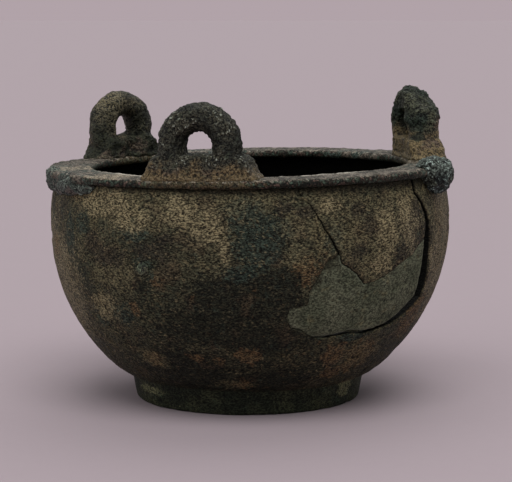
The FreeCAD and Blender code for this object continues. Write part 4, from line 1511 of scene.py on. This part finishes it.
class CENSER_OT_crusts(bpy.types.Operator):
    """Makes the crusts of corrosion that stand on the metal"""

    bl_idname = "censer.crusts"
    bl_label = "Crusts"

    def execute(self, context):
        lug = settings().lugs
        stone = make_crust_stone(
            "crust_stone", ((42, 46, 42), (15, 20, 19)), ((72, 76, 71), (38, 48, 46)),
            ((118, 122, 114), (158, 168, 164)), ((86, 72, 67), (56, 53, 43)))
        wart_tones = ((36, 41, 32), (74, 76, 60), (122, 124, 102), (54, 47, 36))
        wart = make_crust_stone("wart_crust", *((tone, tone) for tone in wart_tones))

        def lumpy(coarse, fine):
            def height(place, normal):
                pushed = 1.4 + 0.8 * between(place.z, 58.5, 54.5)
                return (
                    wavy(place, 2.6, 42.0) * coarse + crumbs(place, 1.3, 43.0) * fine * 1.6
                    + wavy(place, 0.9, 45.0) * fine * 0.4 - between(place.x, -45.5, -49.5) * pushed * MM)
            return height

        crusts = (
            ("crust_right", "crust", stone, lumpy(0.45 * MM, 0.42 * MM)),
            ("crust_left", "crust", stone, lumpy(0.45 * MM, 0.34 * MM)),
            ("crust_wart", "wart", wart, lumpy(0.30 * MM, 0.30 * MM)),
        )
        for node, slot, material, height in crusts:
            mesh = rebuilt(node, lug.crust_grid, 4)
            displaced(mesh, height)
            mark_relief(mesh, 6, 0.10 * MM)
            finished("worn_" + node, mesh, node, material)
        return {"FINISHED"}


# Stage


# The point that the camera looks at, the half width of the floor, and each lamp's angular size,
# azimuth from the camera's and elevation in degrees
TARGET = Vector((1.560, 0.401, 38.92)) * MM
FLOOR_REACH = 8.0
LAMPS = {"key": (44.0, 8.0, 60.0), "fill": (60.0, -66.0, 35.0), "back": (50.0, 165.0, 62.0)}


def toward(azimuth, elevation):
    """Direction from the censer to a place round and above it."""
    level = math.cos(elevation)
    return Vector((math.sin(azimuth) * level, -math.cos(azimuth) * level, math.sin(elevation)))


class CENSER_OT_stage(bpy.types.Operator):
    """Lays the pale floor, sets the soft lights and places the camera"""

    bl_idname = "censer.stage"
    bl_label = "Stage"

    def execute(self, context):
        stage = settings().stage
        scene = context.scene
        paper = Finish("paper")
        fibre = paper.speckle(2.5, 1.0)
        darker, paler = (
            tuple(part * stage.floor_share * share for part in stage.paper) for share in (0.985, 1.015))
        paper.colour = paper.mix(fibre, darker, paler)
        mesh = bpy.data.meshes.new("floor")
        corners = ((-1, -1), (1, -1), (1, 1), (-1, 1))
        mesh.from_pydata([(x * FLOOR_REACH, y * FLOOR_REACH, 0) for x, y in corners], [], [(0, 1, 2, 3)])
        mesh.materials.append(paper.surface(0.9, fibre, 0.02 * MM))
        floor = linked("floor", mesh)

        for name, (size, azimuth, elevation) in LAMPS.items():
            lamp = bpy.data.lights.new(name, "SUN")
            lamp.energy = getattr(stage, name)
            lamp.angle = math.radians(size)
            away = toward(math.radians(azimuth) + stage.azimuth, math.radians(elevation))
            linked(name, lamp).rotation_euler = away.to_track_quat("Z", "Y").to_euler()

        world = bpy.data.worlds.new("surround")
        world.use_nodes = True
        tree = Tree(world.node_tree)
        tree.tree.nodes.clear()
        direct = tree.node("ShaderNodeLightPath", output=0)
        light, behind = (
            tree.node("ShaderNodeBackground", inputs={"Color": colour, "Strength": strength})
            for colour, strength in (((1.0,) * 4, stage.sky), ((*stage.paper, 1.0), 1.0)))
        shown = tree.node("ShaderNodeMixShader", inputs={0: direct, 1: light, 2: behind})
        output = tree.tree.nodes.new("ShaderNodeOutputWorld")
        tree.tree.links.new(shown.socket, output.inputs[0])
        scene.world = world

        camera = bpy.data.cameras.new("camera")
        camera.lens = stage.lens
        camera.sensor_width = 36.0
        camera.sensor_fit = "HORIZONTAL"
        camera.clip_start = 0.01
        holder = linked("camera", camera)
        away = toward(stage.azimuth, stage.elevation)
        holder.location = TARGET + away * stage.distance
        turned = away.to_track_quat("Z", "Y").to_matrix() @ Matrix.Rotation(-stage.roll, 3, "Z")
        holder.rotation_euler = turned.to_euler()
        scene.camera = holder
        scene.view_settings.view_transform = "Standard"
        return {"FINISHED"}


class CenserSettings(bpy.types.PropertyGroup):
    bowl: PointerProperty(type=CenserBowlSettings)
    chip: PointerProperty(type=CenserBreakSettings)
    rings: PointerProperty(type=CenserRingSettings)
    lugs: PointerProperty(type=CenserLugSettings)
    stage: PointerProperty(type=CenserStageSettings)


OPERATORS = (
    CENSER_OT_wall, CENSER_OT_rings, CENSER_OT_lugs, CENSER_OT_crusts, CENSER_OT_stage,
)


class CENSER_PT_panel(bpy.types.Panel):
    """Lists the censer's pieces and their sizes"""

    bl_idname = "CENSER_PT_panel"
    bl_label = "Hanging Censer"
    bl_space_type = "VIEW_3D"
    bl_region_type = "UI"
    bl_category = "Censer"

    def draw(self, context):
        layout = self.layout
        censer = context.scene.censer
        for title, group in (
                ("Bowl", censer.bowl), ("Break", censer.chip), ("Rings", censer.rings),
                ("Lugs", censer.lugs), ("Stage", censer.stage)):
            box = layout.box()
            box.label(text=title)
            for name in group.__annotations__:
                box.prop(group, name)
        for operator in OPERATORS:
            layout.operator(operator.bl_idname)


CLASSES = (
    CenserBowlSettings, CenserBreakSettings, CenserRingSettings, CenserLugSettings,
    CenserStageSettings, CenserSettings, *OPERATORS, CENSER_PT_panel,
)


def register():
    for item in CLASSES:
        bpy.utils.register_class(item)
    bpy.types.Scene.censer = PointerProperty(type=CenserSettings)


def unregister():
    del bpy.types.Scene.censer
    for item in reversed(CLASSES):
        bpy.utils.unregister_class(item)


def main():
    register()
    bpy.ops.censer.wall()
    bpy.ops.censer.rings()
    bpy.ops.censer.lugs()
    bpy.ops.censer.crusts()
    bpy.ops.censer.stage()


if __name__ == "__main__":
    main()
